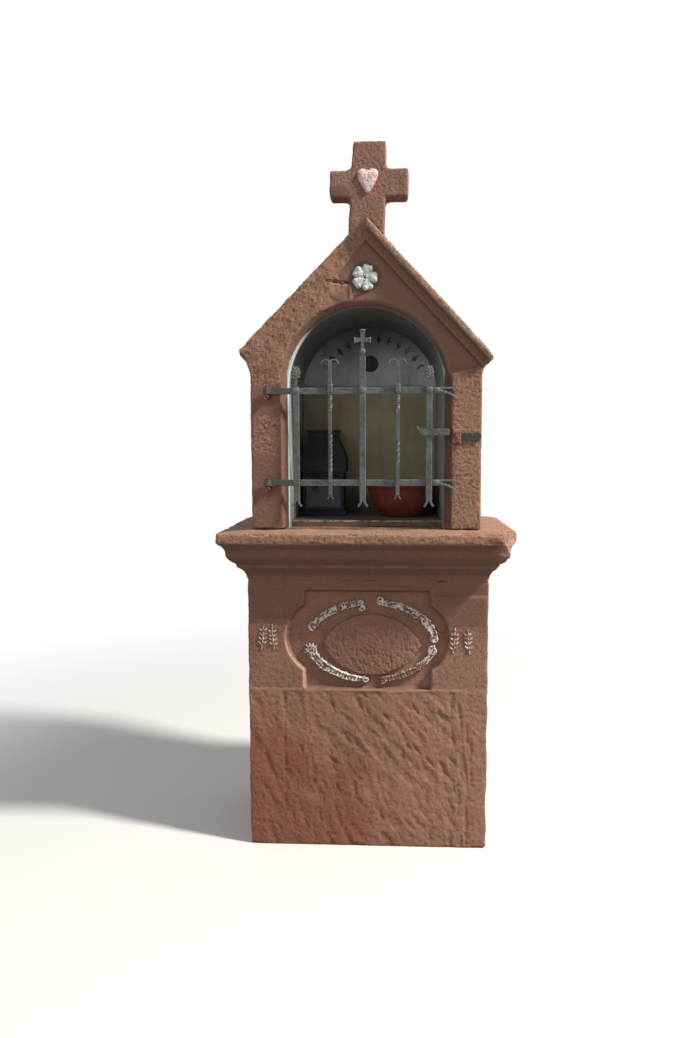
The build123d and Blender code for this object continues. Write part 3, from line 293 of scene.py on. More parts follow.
stage_floor()
white_world(fill=0.38)
soft_lamp("key", (6.7, -2.3, 7.9), (0, 0, 1.1), 1.1, 1500, (1.0, 0.97, 0.92))
soft_lamp("front_fill", (-1.6, -4.0, 2.4), (0, 0, 1.1), 2.5, 24)
print("stage set")

# %% [markdown]
# ## From a CAD stone to a weathered one
# A stone in the frame has flat faces and true arrises. The real one was cut by hand and has stood
# outside for generations. A voxel remesh gives it an even skin of small faces, whose corners are
# already a little blunt. A rule for each stone then moves every point inwards by a few millimetres,
# from noise that is stretched along the mason's strokes. Four values are kept on the mesh for the
# paint: how deep the tool went, how pecked the stone is, and how far it is an arris or a hollow.

# %% Dense copies and neighbour averages
import numpy as np


@contextmanager
def edited(mesh):
    """A bmesh of the mesh for one block of code, written back at its end."""
    work = bmesh.new()
    work.from_mesh(mesh)
    yield work
    work.to_mesh(mesh)
    work.free()


def finished(name, mesh, finish, nodes=(), body="masonry", smooth=True):
    """A piece with its finish, riding on a body in place of its CAD nodes."""
    mesh.materials.clear()
    mesh.materials.append(finish)
    if smooth:
        mesh.polygons.foreach_set("use_smooth", [True] * len(mesh.polygons))
    piece = linked(name, mesh)
    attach(piece, body)
    if nodes:
        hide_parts(*nodes)
    print(name, len(mesh.polygons), "faces")


def body_of(node):
    return CAD[node].parent.name.split(":")[-1]


def after_modifier(mesh, kind, **settings):
    """The mesh as one modifier leaves it."""
    holder = linked("holder", mesh)
    step = holder.modifiers.new("step", kind)
    for name, value in settings.items():
        setattr(step, name, value)
    result = bpy.data.meshes.new_from_object(holder.evaluated_get(bpy.context.evaluated_depsgraph_get()))
    bpy.data.objects.remove(holder)
    return result


def fused(mesh, voxel):
    """The mesh with one even skin, made by a voxel remesh."""
    return after_modifier(mesh, "REMESH", mode="VOXEL", voxel_size=voxel)


def denser_front(mesh, form):
    """The faces towards the viewer are cut in four, then every point is laid back on the true form."""
    with edited(mesh) as work:
        front = [edge for edge in work.edges if any(face.normal.y < -0.5 for face in edge.link_faces)]
        bmesh.ops.subdivide_edges(work, edges=front, cuts=1, use_grid_fill=True)
        bmesh.ops.triangulate(work, faces=[face for face in work.faces if len(face.verts) > 4])
    target = linked("form", form)
    laid = after_modifier(mesh, "SHRINKWRAP", target=target, wrap_method="NEAREST_SURFACEPOINT")
    bpy.data.objects.remove(target)
    return laid


def cad_copy(node, tucked=()):
    """A CAD node's mesh with its loose triangles merged. Tucked planes are pushed into a neighbour."""
    work = bmesh.new()
    work.from_mesh(CAD[node].data)
    bmesh.ops.remove_doubles(work, verts=work.verts, dist=1e-5)
    for axis, plane, push in tucked:
        for vertex in work.verts:
            if abs(vertex.co[axis] - plane) < 1e-4:
                vertex.co[axis] += push
    return as_mesh(node + "_copy", work)


def per_point(mesh, name):
    values = np.empty(len(mesh.vertices) * 3)
    mesh.vertices.foreach_get(name, values)
    return values.reshape(-1, 3)


def edge_ends(mesh):
    pairs = np.empty(len(mesh.edges) * 2, dtype=np.int64)
    mesh.edges.foreach_get("vertices", pairs)
    return pairs.reshape(-1, 2).T


def neighbour_mean(mesh, values, rounds):
    """Each point's value averaged with its neighbours', several times over."""
    a, b = edge_ends(mesh)
    count = len(mesh.vertices)
    shares = np.bincount(a, minlength=count) + np.bincount(b, minlength=count) + 1.0
    for _ in range(rounds):
        total = values + np.bincount(a, values[b], count) + np.bincount(b, values[a], count)
        values = total / shares
    return values


def averaged(mesh, co, rounds):
    return np.column_stack([neighbour_mean(mesh, column, rounds) for column in co.T])


def keep_on_mesh(mesh, name, values):
    layer = mesh.attributes.new(name, "FLOAT", "POINT")
    layer.data.foreach_set("value", np.clip(values, 0, 1).astype(np.float32))


def sharpness(mesh):
    """How far each point stands out from its neighbours: over 0 on an arris, under 0 in a corner."""
    co, no = per_point(mesh, "co"), per_point(mesh, "normal")
    a, b = edge_ends(mesh)
    length = np.linalg.norm(co[a] - co[b], axis=1)
    count = len(co)
    spacing = np.bincount(a, length, count) + np.bincount(b, length, count)
    spacing /= np.maximum(np.bincount(a, minlength=count) + np.bincount(b, minlength=count), 1)
    mean = averaged(mesh, co, 3)
    return neighbour_mean(mesh, ((co - mean) * no).sum(1) / np.maximum(spacing, 1e-5), 1)


def move_points(mesh, co, sharp):
    """Lays the points in their worn places and keeps how sharp the piece was at each."""
    keep_on_mesh(mesh, "edge", sharp * 1.4)
    keep_on_mesh(mesh, "corner", -sharp * 1.4)
    mesh.vertices.foreach_set("co", co.astype(np.float32).ravel())
    mesh.update()


def bell(values, centre, width):
    """1 at the centre, falling to both sides."""
    return np.exp(-(((values - centre) / width) ** 2))


def rise(values, low, high):
    """Smoothly from 0 at the low value to 1 at the high one."""
    share = np.clip((values - low) / (high - low), 0, 1)
    return share * share * (3 - 2 * share)


def window(values, low, full, fading, gone):
    """0 outside low and gone, 1 from full to fading."""
    return rise(values, low, full) * (1 - rise(values, fading, gone))


def grain(co, sizes, seed, octaves=1, turned=0.0, flat="x"):
    """Noise from -1 to 1 in lumps of that many metres, turned in the plane of the face."""
    sizes = sizes if isinstance(sizes, tuple) else (sizes,) * 3
    across, depth, up = (0, 1, 2) if flat == "x" else (1, 0, 2)
    c, s = cos(turned), sin(turned)
    u = (co[:, across] * c + co[:, up] * s) / sizes[0] + 31.7 * seed
    v = (co[:, up] * c - co[:, across] * s) / sizes[2] + 12.9 * seed
    w = co[:, depth] / sizes[1] - 7.3 * seed
    rows = np.column_stack([u, w, v]).tolist()
    if octaves == 1:
        return np.array([noise.noise(row) for row in rows])
    return np.array([noise.fractal(row, 1.0, 2.0, octaves) for row in rows])


def swellings(co, size, seed, octaves=3, lift=0.5):
    """Rounded swellings from 0 to 1, of about that size."""
    return np.clip(lift + grain(co, size, seed, octaves), 0, 1)


def worn_copy(node, voxel, rule, finish, chipping=0.004, waves=0.9, tucked=(), dense=False, rounds=0):
    """Replaces a CAD node by its weathered copy. The rule gives each point's cut in millimetres."""
    form = cad_copy(node, tucked)
    mesh = fused(form.copy(), voxel)
    if dense:
        mesh = denser_front(mesh, form)
    co, no = per_point(mesh, "co"), per_point(mesh, "normal")
    sharp = sharpness(mesh)
    if rounds:
        co = averaged(mesh, co, rounds)
    arris = np.clip(sharp * 1.6, 0, 1)
    cut, tooling, pecked = rule(co, no)
    uneven = waves * (1 + grain(co, 0.13, 3))
    chips = arris * (0.25 + np.clip(grain(co, 0.05, 5, 3) * 1.6, 0, 1)) * chipping / MM
    loss = (cut + uneven + chips) * MM
    keep_on_mesh(mesh, "tooling", tooling)
    keep_on_mesh(mesh, "pecked", pecked)
    move_points(mesh, co - no * loss[:, None], sharp)
    finished("worn_" + node, mesh, finish, [node], body_of(node))


def worn_stone(node, voxel, rule, chipping=0.004, tucked=(), dense=True, rounds=0):
    worn_copy(node, voxel, rule, sandstone, chipping, 0.9, tucked, dense, rounds)


print("mesh helpers ready")

# %% [markdown]
# ## Sandstone
# Red sandstone is never one colour. Broad clouds of brown and pink come first, then redder damp
# patches near the ground, dark dirt in the cuts, pale arrises that are partly rubbed and partly a
# painted highlight, grey crust on what faces the sky and a fine quartz grain over everything.
# Painted shade darkens the smooth faces and the undersides, dirt and painted shade the corners,
# and painted sunlight pales the lit parts. The values kept on the mesh steer the dirt, the wear and
# the painted light.

# %% The sandstone recipe
HOUSE_FRONT, FIELD_FACE, NICHE_AXIS_Z = -0.264, -0.258, 1.421
HOUSE_FOOT, SPRING_Z, HOUSE_CENTRE_X, RIDGE_Z, EAVE_REACH = 1.003, 1.45, -0.003, 1.906, 0.373
RIGHT_FALL = (RIDGE_Z - 1.509) / EAVE_REACH
LIP_HEIGHT, FASCIA_FOOT = 0.502, 0.96
HEART_CENTRE = Vector((0.0036, -0.235, 2.011))
FLOWER_CENTRE = Vector((-0.004, -0.258, 1.733))
BROKEN_CORNER, KEEPER_CENTRE = Vector((0.44, -0.26, 0.95)), (0.262, -0.273, 1.276)


def point_marks(paint):
    """Small pits left by the mason's point: round above, drawn out and slanting on the rough base."""
    base = paint.span("Z", LIP_HEIGHT + 0.003, LIP_HEIGHT - 0.007)
    above = paint.patches(0.46, 0.36, 215, 3, 0.55)
    below = paint.patches(0.5, 0.38, 190, 3, 0.6, along=(2.2, radians(-68)))
    crowd = paint.patches(0.24, 0.6, 24, 3, 0.5)
    return paint.times(paint.mix(base, above, paint.times(below, 0.5)), crowd, paint.stored("pecked"))


def local_stains_and_painted_light(paint):
    """Stains, painted shade and painted highlights that belong to one place, from the gable down to the sill.
    """
    x, y, z = (paint.axis(name) for name in "XYZ")
    gable = paint.between(z, SPRING_Z + 0.02, SPRING_Z + 0.05)
    lost_moulding = paint.between(x, 0.0, -0.03)
    # Paler, yellower on the pecked band of the lost moulding: partly its own colour, partly painted sunlight.
    paint.lay(srgb(166, 128, 103), 0.5, gable, lost_moulding, paint.stored("pecked"))
    sunk = paint.between(y, FIELD_FACE - 0.0025, FIELD_FACE - 0.001)
    paint.lay(srgb(132, 101, 88), 0.55, gable, sunk, paint.towards("Y", -0.5, -0.8))
    # Painted shade in the short gash over the arch.
    gash = paint.near((-0.07, -0.262, 1.7205), (0.03, 0.03, 0.0065))
    paint.lay(srgb(62, 44, 37), 0.55, gash)
    # Painted highlight on the left rim of the sunk panel, which faces the sun.
    panel_height = paint.times(paint.between(z, 0.498, 0.51), paint.between(z, 0.72, 0.7))
    panel_rim_highlight = paint.times(paint.between(x, -0.15, -0.18), paint.towards("X", 0.2, 0.5))
    paint.lay(srgb(214, 168, 146), 0.7, panel_height, panel_rim_highlight)
    # Painted shade on the right splay, which faces away from the sun.
    right_splay_shade = paint.times(paint.between(x, 0.2, 0.21), paint.between(y, -0.2, -0.22))
    paint.lay(srgb(72, 56, 48), 0.7, right_splay_shade, paint.between(z, 1.0, 1.02), paint.towards("X", -0.5, -0.7))
    rake = paint.between(paint.plus(z, paint.times(x, RIGHT_FALL)), RIDGE_Z - 0.04, RIDGE_Z - 0.028)
    crust = paint.mix(paint.patches(0.46, 0.54, 34, 4, 0.6), srgb(190, 142, 122), srgb(134, 130, 106))
    paint.lay(crust, 0.6, gable, rake, paint.between(x, -0.02, 0.0), paint.between(y, -0.255, -0.262))
    paint_run = paint.near(HEART_CENTRE + Vector((0.018, 0, -0.022)), (0.03, 0.05, 0.036))
    paint.lay(srgb(186, 108, 98), 0.7, paint_run, paint.patches(0.34, 0.56, 70, 4, 0.6))
    # Painted shade on the smooth patch of the cross's left arm.
    left_arm_shade = paint.near(HEART_CENTRE + Vector((-0.088, 0, -0.03)), (0.034, 0.05, 0.024))
    paint.lay(srgb(96, 74, 68), 0.7, left_arm_shade)
    paint.lay(srgb(62, 48, 44), 0.6, paint.near(FLOWER_CENTRE, (0.05, 0.03, 0.05), 0.8))
    paint.lay(srgb(122, 80, 72), 0.8, paint.near(KEEPER_CENTRE, (0.03, 0.02, 0.04)))
    silt = paint.near((0.06, -0.23, HOUSE_FOOT + 0.001), (0.24, 0.075, 0.02))
    paint.lay(srgb(112, 98, 62), 0.7, silt, paint.patches(0.44, 0.58, 30, 5, 0.7))
    # Paler round the broken corner of the cornice: partly the fracture's own colour, partly painted sunlight.
    paint.lay(srgb(196, 156, 134), 0.6, paint.near(BROKEN_CORNER, (0.06,) * 3))


def sandstone_colour(paint):
    """The stone's colour, with painted shade and highlights, before any paint lies on it."""
    paint.ground(paint.patches(0.38, 0.62, 2.6, 5, 0.6), srgb(136, 98, 80), srgb(154, 112, 92))
    paint.lay(srgb(121, 84, 68), 0.45, paint.patches(0.5, 0.72, 11, 6, 0.65))
    paint.lay(srgb(160, 108, 94), 0.45, paint.patches(0.54, 0.66, 6.5, 5, 0.6, shift=(3, 1, 5)))
    wander = paint.times(paint.noise(4.5, 6, 0.68), 1.1)
    rising = paint.plus(paint.axis("Z"), paint.times(paint.axis("X"), 0.8), wander)
    base = paint.span("Z", LIP_HEIGHT - 0.02, LIP_HEIGHT - 0.07)
    damp = paint.times(paint.between(rising, 0.86, 0.56), base)
    paint.lay(srgb(146, 88, 65), 0.8, damp)
    dry = paint.maths("SUBTRACT", 1.0, damp)
    paint.lay(srgb(172, 121, 98), 0.5, paint.span("Z", LIP_HEIGHT, LIP_HEIGHT - 0.01), dry)
    # Painted sunlight: paler where the sun fell, on the lower front to the right, the fascia and the right
    # pier.
    below_panel = paint.times(paint.span("X", -0.05, 0.25), paint.span("Z", 0.72, 0.6))
    fascia = paint.times(paint.span("Z", FASCIA_FOOT - 0.002, FASCIA_FOOT + 0.006),
                         paint.span("Z", 1.012, 1.004))
    right_pier = paint.times(paint.span("X", 0.21, 0.27), 0.7,
                             paint.span("Z", HOUSE_FOOT - 0.003, HOUSE_FOOT + 0.007),
                             paint.span("Z", SPRING_Z + 0.01, SPRING_Z - 0.01))
    pale = paint.maths("MAXIMUM", below_panel, paint.maths("MAXIMUM", fascia, right_pier))
    paint.lay(srgb(172, 128, 106), 0.6, pale)
    # Painted shade: the smooth, unpecked faces are darker.
    paint.lay(srgb(106, 75, 62), 0.6, paint.between(paint.stored("pecked"), 0.45, 0.1))
    # Painted shade on the faces that look down.
    paint.lay(srgb(82, 57, 48), 0.55, paint.towards("Z", -0.15, -0.6))
    local_stains_and_painted_light(paint)
    paint.lay(srgb(98, 66, 53), 0.3, paint.stored("tooling"))
    # Darker in the corners: dirt and painted shade.
    paint.lay(srgb(78, 53, 44), 0.5, paint.stored("corner"))
    # Paler on the arrises: rubbed wear and a painted highlight.
    paint.lay(srgb(196, 152, 128), 0.38, paint.stored("edge"))
    grey_crust, lichen = paint.patches(0.42, 0.62, 24, 6, 0.7), paint.patches(0.56, 0.64, 17, 7, 0.75)
    paint.lay(srgb(138, 112, 92), 0.5, grey_crust, paint.towards("Z", 0.35, 0.9))
    paint.lay(srgb(142, 136, 112), 0.45, lichen, paint.towards("Z", 0.2, 0.7))
    paint.lay(srgb(94, 64, 52), 0.5, point_marks(paint))
    speck = paint.noise(420, 3, 0.6)
    paint.lay(srgb(190, 152, 130), 0.25, paint.between(speck, 0.54, 0.66))
    paint.lay(srgb(80, 54, 45), 0.3, paint.between(speck, 0.45, 0.33))


def sandstone_bump(paint):
    paint.bump(paint.maths("SUBTRACT", 1.0, point_marks(paint)), 0.003, 0.9)
    paint.bump(paint.noise(75, 5, 0.7), 0.003, 0.6)
    paint.bump(paint.noise(330, 4, 0.65), 0.0016, 0.7)
    paint.roughness(paint.noise(60, 3), 0.86, 1.0)


stone_finish = Finish("sandstone")
sandstone_colour(stone_finish)
stone_finish.colour()
sandstone_bump(stone_finish)
sandstone = stone_finish.material
print("nodes in the sandstone:", len(sandstone.node_tree.nodes))

# %% [markdown]
# ## The pedestal
# The lower half of the front was roughed with a point: long slanting furrows in the middle, upright
# ones towards both arrises, and a line cut down the left margin. Above the lip it was dressed
# smooth, and the two fields beside the panel were only pecked. Each zone is a weight from 0 to 1,
# and the strokes are noise stretched along their direction.

# %% Cut the pedestal
PEDESTAL_TOP, DRESSED_FACE = 0.834, -0.2075
LEFT_MARGIN, RIGHT_MARGIN, RIGHT_DRAFT = -0.257, 0.262, 0.318
# For each zone: depth, number of blows, reach across, reach up, lean, length, width, seed.
BLOWS = (
    (1.0, 30, (-0.12, 0.27), (0.22, 0.5), radians(-52), 0.026, 0.0095, 11),
    (0.6, 22, (-0.14, 0.3), (0.02, 0.26), radians(-70), 0.028, 0.009, 12),
    (0.5, 44, (-0.36, -0.1), (0.02, 0.49), radians(-80), 0.018, 0.007, 13),
)


def strokes(co, length, width, seed, lean, flat="x"):
    """Furrows: 0 on the ridges, up to 1 at the bottom of a stroke."""
    furrow = grain(co, (length, 0.2, width), seed, 1, lean, flat)
    wander = grain(co, 0.05, seed + 1)
    return np.clip(furrow * 1.9 + 0.25 * wander + 0.1, 0, 1) ** 1.2


def pecks(co, size, seed):
    """Small round pits of about that size."""
    return np.clip(grain(co, size, seed, 2) * 1.5 + 0.2, 0, 1)


def gouges(co, count, across, up, lean, length, width, seed):
    """Separate blows of a heavy point, scattered over a zone: up to 1 where one is deepest."""
    chance = np.random.default_rng(seed)
    deep = np.zeros(len(co))
    for _ in range(count):
        x, z = co[:, 0] - chance.uniform(*across), co[:, 2] - chance.uniform(*up)
        turn = lean + chance.normal(0, 0.15)
        size, force = chance.uniform(0.6, 1.35), chance.uniform(0.45, 1)
        along = (x * cos(turn) + z * sin(turn)) / (length * size)
        aside = (z * cos(turn) - x * sin(turn)) / (width * size)
        aside = np.where(aside > 0, aside * 1.7, aside)
        deep = np.maximum(deep, force * np.exp(-(along ** 2) - aside ** 2))
    return deep


def pedestal_cut(co, no):
    x, y, z = co.T
    front = rise(-no[:, 1], 0.5, 0.9)
    flank = rise(np.abs(no[:, 0]), 0.5, 0.9)
    back = rise(no[:, 1], 0.5, 0.9)
    rough = 1 - rise(z, LIP_HEIGHT - 0.016, LIP_HEIGHT - 0.004)
    slant = window(x, -0.12, 0.02, RIGHT_MARGIN - 0.04, RIGHT_MARGIN)
    upright = window(x, RIGHT_MARGIN - 0.04, RIGHT_MARGIN, RIGHT_DRAFT, RIGHT_DRAFT + 0.01)
    plain = 1 - rise(x, -0.12, 0.02)
    slanting = strokes(co, 0.075, 0.021, 1, radians(-52))
    falling = strokes(co, 0.065, 0.0085, 2, radians(-86))
    faint = strokes(co, 0.09, 0.026, 4, radians(-72))
    line = bell(x, LEFT_MARGIN, 0.004) * rise(z, 0.08, 0.12)
    heavy = np.max([depth * gouges(co, *zone) for depth, *zone in BLOWS], axis=0)
    tooling = front * rough * (0.4 * slant * slanting + 0.45 * upright * falling + 0.4 * plain * faint)
    tooling = np.maximum(tooling, front * rough * heavy)
    flutes = strokes(co, 0.11, 0.022, 6, radians(-75), "y")
    tooling = tooling + flank * rough * 0.7 * flutes + back * 0.5 * faint
    peck = pecks(co, 0.011, 8)
    field = front * (1 - rough) * (np.abs(x) > 0.2) * (z < 0.7)
    broad = np.clip(grain(co, (0.1, 0.1, 0.14), 9, 2), 0, 1)
    cut = 5.8 * tooling + front * rough * (1.5 * line + 1.4 * peck + 3.0 * broad) + 1.1 * field * peck
    cut = cut + (flank + back) * 0.8 * peck
    sunk = front * (y > DRESSED_FACE + 0.008) * (z > LIP_HEIGHT)
    pecked = 0.95 * rough + 0.55 * field + 0.35 * sunk + 0.45 * (flank + back) + 0.05
    return cut, tooling * 0.8 + 0.15 * peck * (rough + field) + line * front * 0.2, pecked


worn_stone("pedestal_block", 0.0072, pedestal_cut, chipping=0.006, tucked=[(2, PEDESTAL_TOP, 0.008)])

# %% [markdown]
# ## The cornice
# The moulding under the slab kept its smooth run, but the fascia has been knocked all along and the
# front right corner is broken off, with a rough lighter fracture. The rule roughens by height, and
# adds a coarse fracture near that corner.

# %% Wear the cornice
def cornice_cut(co, no):
    x, y, z = co.T
    top = rise(no[:, 2], 0.4, 0.8)
    fascia = rise(z, FASCIA_FOOT - 0.006, FASCIA_FOOT + 0.004) * (1 - top)
    near = bell(x, BROKEN_CORNER.x, 0.05) * bell(y, BROKEN_CORNER.y, 0.05)
    peck = pecks(co, 0.012, 11)
    cut = fascia * (1.7 * peck + 4.0 * swellings(co, 0.07, 13, 2, -0.1)) + top * 0.8 * peck
    cut = cut + 7.0 * near * swellings(co, 0.03, 12)
    return cut, 0.3 * (fascia + top) * peck, fascia + 0.3 * top + 0.8 * near + 0.08


worn_stone("cornice", 0.0066, cornice_cut, chipping=0.009)

# %% [markdown]
# ## The niche house
# The piers were pecked in front and left smooth inside the splay. The gable stone has lost its left
# raking moulding, which leaves a pecked band along the slope, a slightly sunk field beside it, and
# a short gash over the arch. The back wall and the cross repeat the pecking.

# %% Peck the piers, the wall, the gable and the cross
def pier_cut(co, no):
    x, y, z = co.T
    face = rise(-no[:, 1], 0.7, 0.95) * (y < HOUSE_FRONT + 0.006)
    ragged = z + 0.02 * grain(co, 0.03, 22, 2)
    bands = np.maximum(window(ragged, 1.215, 1.235, 1.325, 1.345), rise(ragged, 1.415, 1.43))
    smooth_patch = bell(z, 1.36, 0.03) * bell(x, 0.3, 0.03)
    zone = np.where(x < 0, bands, 1 - 0.8 * smooth_patch)
    peck = pecks(co, 0.0078, 21)
    outer = rise(no[:, 0] * np.sign(x), 0.7, 0.95)
    cut = 1.3 * face * peck * zone + 0.4 * peck + 0.7 * outer * pecks(co, 0.016, 24)
    return cut, 0.4 * face * peck * zone, face * zone + 0.5 * outer + 0.06


def wall_cut(co, no):
    peck = pecks(co, 0.014, 23)
    flutes = strokes(co, 0.1, 0.024, 24, radians(-70))
    return 1.2 * peck + 1.6 * flutes, 0.5 * peck + 0.4 * flutes, 0.6 + 0 * peck


def gable_cut(co, no):
    x, y, z = co.T
    x = x - HOUSE_CENTRE_X
    front = rise(-no[:, 1], 0.6, 0.95)
    field = front * (np.abs(y - FIELD_FACE) < 0.003)
    face = front * (np.abs(y - HOUSE_FRONT) < 0.003)
    left = rise(-x, -0.01, 0.01)
    moulding = (y < HOUSE_FRONT - 0.003) * 1.0
    fascia_top = moulding * rise(z + RIGHT_FALL * x, RIDGE_Z - 0.034, RIDGE_Z - 0.022)
    ring = np.sqrt(x * x + (z - NICHE_AXIS_Z) ** 2)
    calm = rise(0.275 - ring, -0.02, 0.0) * rise(x, -0.13, -0.07)
    gash = bell(z + 0.1 * (x + 0.067), 1.72, 0.0034) * (np.abs(x + 0.068) < 0.024) * left
    under = bell(z + 0.1 * (x + 0.1), 1.723, 0.003) * (np.abs(x + 0.098) < 0.018) * face
    eave = bell(np.abs(x), EAVE_REACH, 0.022) * (z < 1.57)
    slope = rise(no[:, 2], 0.3, 0.6)
    peck = pecks(co, 0.0082, 31)
    coarse = swellings(co, 0.03, 32)
    pecked = face * left * (1 - calm) + 0.7 * slope + 0.55 * fascia_top + 0.7 * eave + 0.05
    pecked = pecked + 0.45 * rise(no[:, 1], 0.6, 0.95)
    blended = face * bell(x, -0.05, 0.045) * bell(z, 1.685, 0.045)
    cut = (1.25 * pecked + 0.3) * peck + 8.0 * gash * front + 4.0 * under + 2.2 * blended
    cut = cut + (2.2 * face * left + (3.0 + 3.5 * (x < 0)) * eave + 1.6 * fascia_top) * coarse
    return cut, 0.4 * pecked * peck + 1.6 * gash + 0.9 * under, pecked


def cross_cut(co, no):
    x, _, z = co.T
    peck = pecks(co, 0.0082, 41)
    zone = 1 - 0.95 * bell(x, -0.07, 0.05) * bell(z, 1.98, 0.022)
    return 1.1 * peck * zone + 1.3 * swellings(co, 0.04, 42, 2), 0.3 * peck * zone, 0.95 * zone


WALL_FRONT = 0.162
PIER_TUCKS = [(2, SPRING_Z, 0.009), (1, WALL_FRONT, 0.009)]
for pier in ("left_pier", "right_pier"):
    worn_stone(pier, 0.006, pier_cut, chipping=0.005, tucked=PIER_TUCKS)
worn_stone("back_wall", 0.0085, wall_cut, chipping=0.005, tucked=[(2, SPRING_Z, 0.012)], dense=False)
worn_stone("gable_stone", 0.007, gable_cut, chipping=0.005)
worn_stone("stone_cross", 0.0048, cross_cut, chipping=0.003, rounds=6)

# %% [markdown]
# ## Carving from lumps
# Low carving is easiest to think of as clay: a leaf is one flattened ball, a curl is a row of balls
# on a spiral. Each ornament is a handful of icospheres in one bmesh, and a voxel remesh melts them
# into one skin. A little noise then wears the tops down.

# %% Lumps, melted and worn
def lump(work, place, size, turn=0.0):
    """A ball squeezed to that half-size and turned in the plane of the front."""
    ball = bmesh.ops.create_icosphere(work, subdivisions=2, radius=1.0)
    shape = Matrix.Translation(place) @ Matrix.Rotation(-turn, 4, "Y") @ Matrix.Diagonal((*size, 1.0))
    bmesh.ops.transform(work, matrix=shape, verts=ball["verts"])


def around(turn, reach=1.0, depth=0.0):
    """A step in the plane of the front, by its angle and length."""
    return Vector((reach * cos(turn), depth, reach * sin(turn)))


def carved(name, work, voxel, wear, finish, nodes=(), body="masonry", behind=None):
    """Melts the lumps, wears them and puts the piece in place of its CAD nodes."""
    mesh = fused(as_mesh(name, work), voxel)
    if behind is not None:
        with edited(mesh) as cut:
            whole = cut.verts[:] + cut.edges[:] + cut.faces[:]
            plane = {"plane_co": (0, behind, 0), "plane_no": (0, 1, 0)}
            bmesh.ops.bisect_plane(cut, geom=whole, clear_outer=True, **plane)
            bmesh.ops.holes_fill(cut, edges=[e for e in cut.edges if e.is_boundary])
    co, no = per_point(mesh, "co"), per_point(mesh, "normal")
    sharp = sharpness(mesh)
    worn = wear * (0.5 + 0.5 * grain(co, wear * 8, 51, 2)) * (no[:, 1] < 0.9)
    move_points(mesh, co - no * worn[:, None], sharp)
    finished(name, mesh, finish, nodes, body)


# %% [markdown]
# ## Old whitewash
# The carving was painted white more than once, and rain has taken much of it. The recipe keeps the
# stone's colour, with its painted shade and highlights, underneath and lays the white where a noise
# is high and the carving stands proud, so that bare stone shows in the hollows.

# %% Whitewash and pink paint
def flaking_paint(name, white, cover, flake_scale, tint=None, bare=None):
    paint = Finish(name, roughness=0.85)
    sandstone_colour(paint)
    held = paint.plus(paint.noise(flake_scale, 6, 0.75), paint.times(paint.stored("corner"), -0.25),
                      paint.times(paint.stored("edge"), 0.06))
    if bare:
        held = paint.plus(held, paint.times(paint.near(*bare), -0.09))
    coat = paint.mix(paint.patches(0.35, 0.65, 55, 4), white, tint or tuple(c * 0.86 for c in white))
    flakes = paint.between(held, 0.5 - cover, 0.56 - cover)
    paint.lay(coat, 1, flakes)
    paint.colour()
    sandstone_bump(paint)
    paint.bump(flakes, 0.0006, 0.8)
    return paint.material


BARE_SCROLL = ((0.09, -0.19, 0.56), (0.11, 0.1, 0.075))
whitewash = flaking_paint("flaking_whitewash", srgb(226, 218, 210), 0.04, 75, bare=BARE_SCROLL)
thin_whitewash = flaking_paint("thin_whitewash", srgb(226, 219, 211), -0.005, 120)
petal_white = flaking_paint("petal_white", srgb(230, 231, 228), 0.15, 80, srgb(200, 204, 202))
heart_pink = flaking_paint("heart_pink", srgb(236, 216, 212), 0.11, 120, srgb(224, 176, 174))
print("four paints")

# %% [markdown]
# ## The wreath, the oval and the sprigs
# Four leafy scrolls run round a pointed oval, each from a curled eye. A scroll is a spine of lumps
# along an ellipse with leaves splayed to both sides. The oval field itself is only pecked. Each
# field beside the panel holds a pair of small worn sprigs.

# %% Carve the wreath
WREATH_CENTRE, WREATH_HALF = Vector((0.013, 0, 0.65)), (0.194, 0.121)
PANEL_FLOOR = -0.188


def wreath_point(turn, outward=0.0):
    across, up = (WREATH_HALF[0] + outward) * cos(turn), (WREATH_HALF[1] + outward) * sin(turn)
    return WREATH_CENTRE + Vector((across, PANEL_FLOOR, up))


def curl(work, centre, radius, turns, start, thick):
    """A spiral of lumps, from its outer end inwards."""
    steps = round(turns * 12)
    for i in range(steps):
        share = i / steps
        angle = start + share * turns * 2 * pi
        reach = radius * (1 - 0.72 * share)
        lump(work, centre + around(angle, reach, -0.002), (thick, 0.011 - 0.003 * share, thick))


def leafy_scroll(first, last, head, tail, eye, eye_turn, tip_out, fan=0):
    """A band of leaves from a curled eye to a small tip, with a width at each end and a fan at the eye."""
    work = bmesh.new()
    chance = np.random.default_rng(round(abs(last) * 10))
    first, last = radians(first), radians(last)
    steps = round(abs(last - first) * 0.157 / 0.0085)
    side = 1 if last > first else -1
    for i in range(steps + 1):
        share = i / steps
        turn = first + (last - first) * share
        here, ahead = wreath_point(turn), wreath_point(turn + 0.02 * side)
        heading = atan2(ahead.z - here.z, ahead.x - here.x)
        swell = (head + (tail - head) * share) * (0.8 + 0.3 * sin(share * pi))
        lump(work, here + Vector((0, -0.001, 0)), (0.0085, 0.009, 0.42 * swell), heading)
        for hand in (-1, 1):
            out = wreath_point(turn + 0.006 * hand, hand * side * chance.uniform(0.3, 0.46) * swell)
            size = chance.uniform(0.7, 1.25)
            half = (0.0082 * size, 0.0105 + 0.001 * size, 0.0038)
            lump(work, out + Vector((0, -0.001, 0)), half, heading + hand * chance.uniform(0.2, 0.7))
    curl(work, wreath_point(first), eye, 1.4, eye_turn, 0.0052)
    for i in range(fan):
        turn = radians(35 + 34 * i)
        lump(work, wreath_point(first) + around(turn, 0.0155, -0.001), (0.0085, 0.0105, 0.0042), turn)
    curl(work, wreath_point(last, tip_out), 0.01, 0.9, eye_turn + pi, 0.0052)
    return work


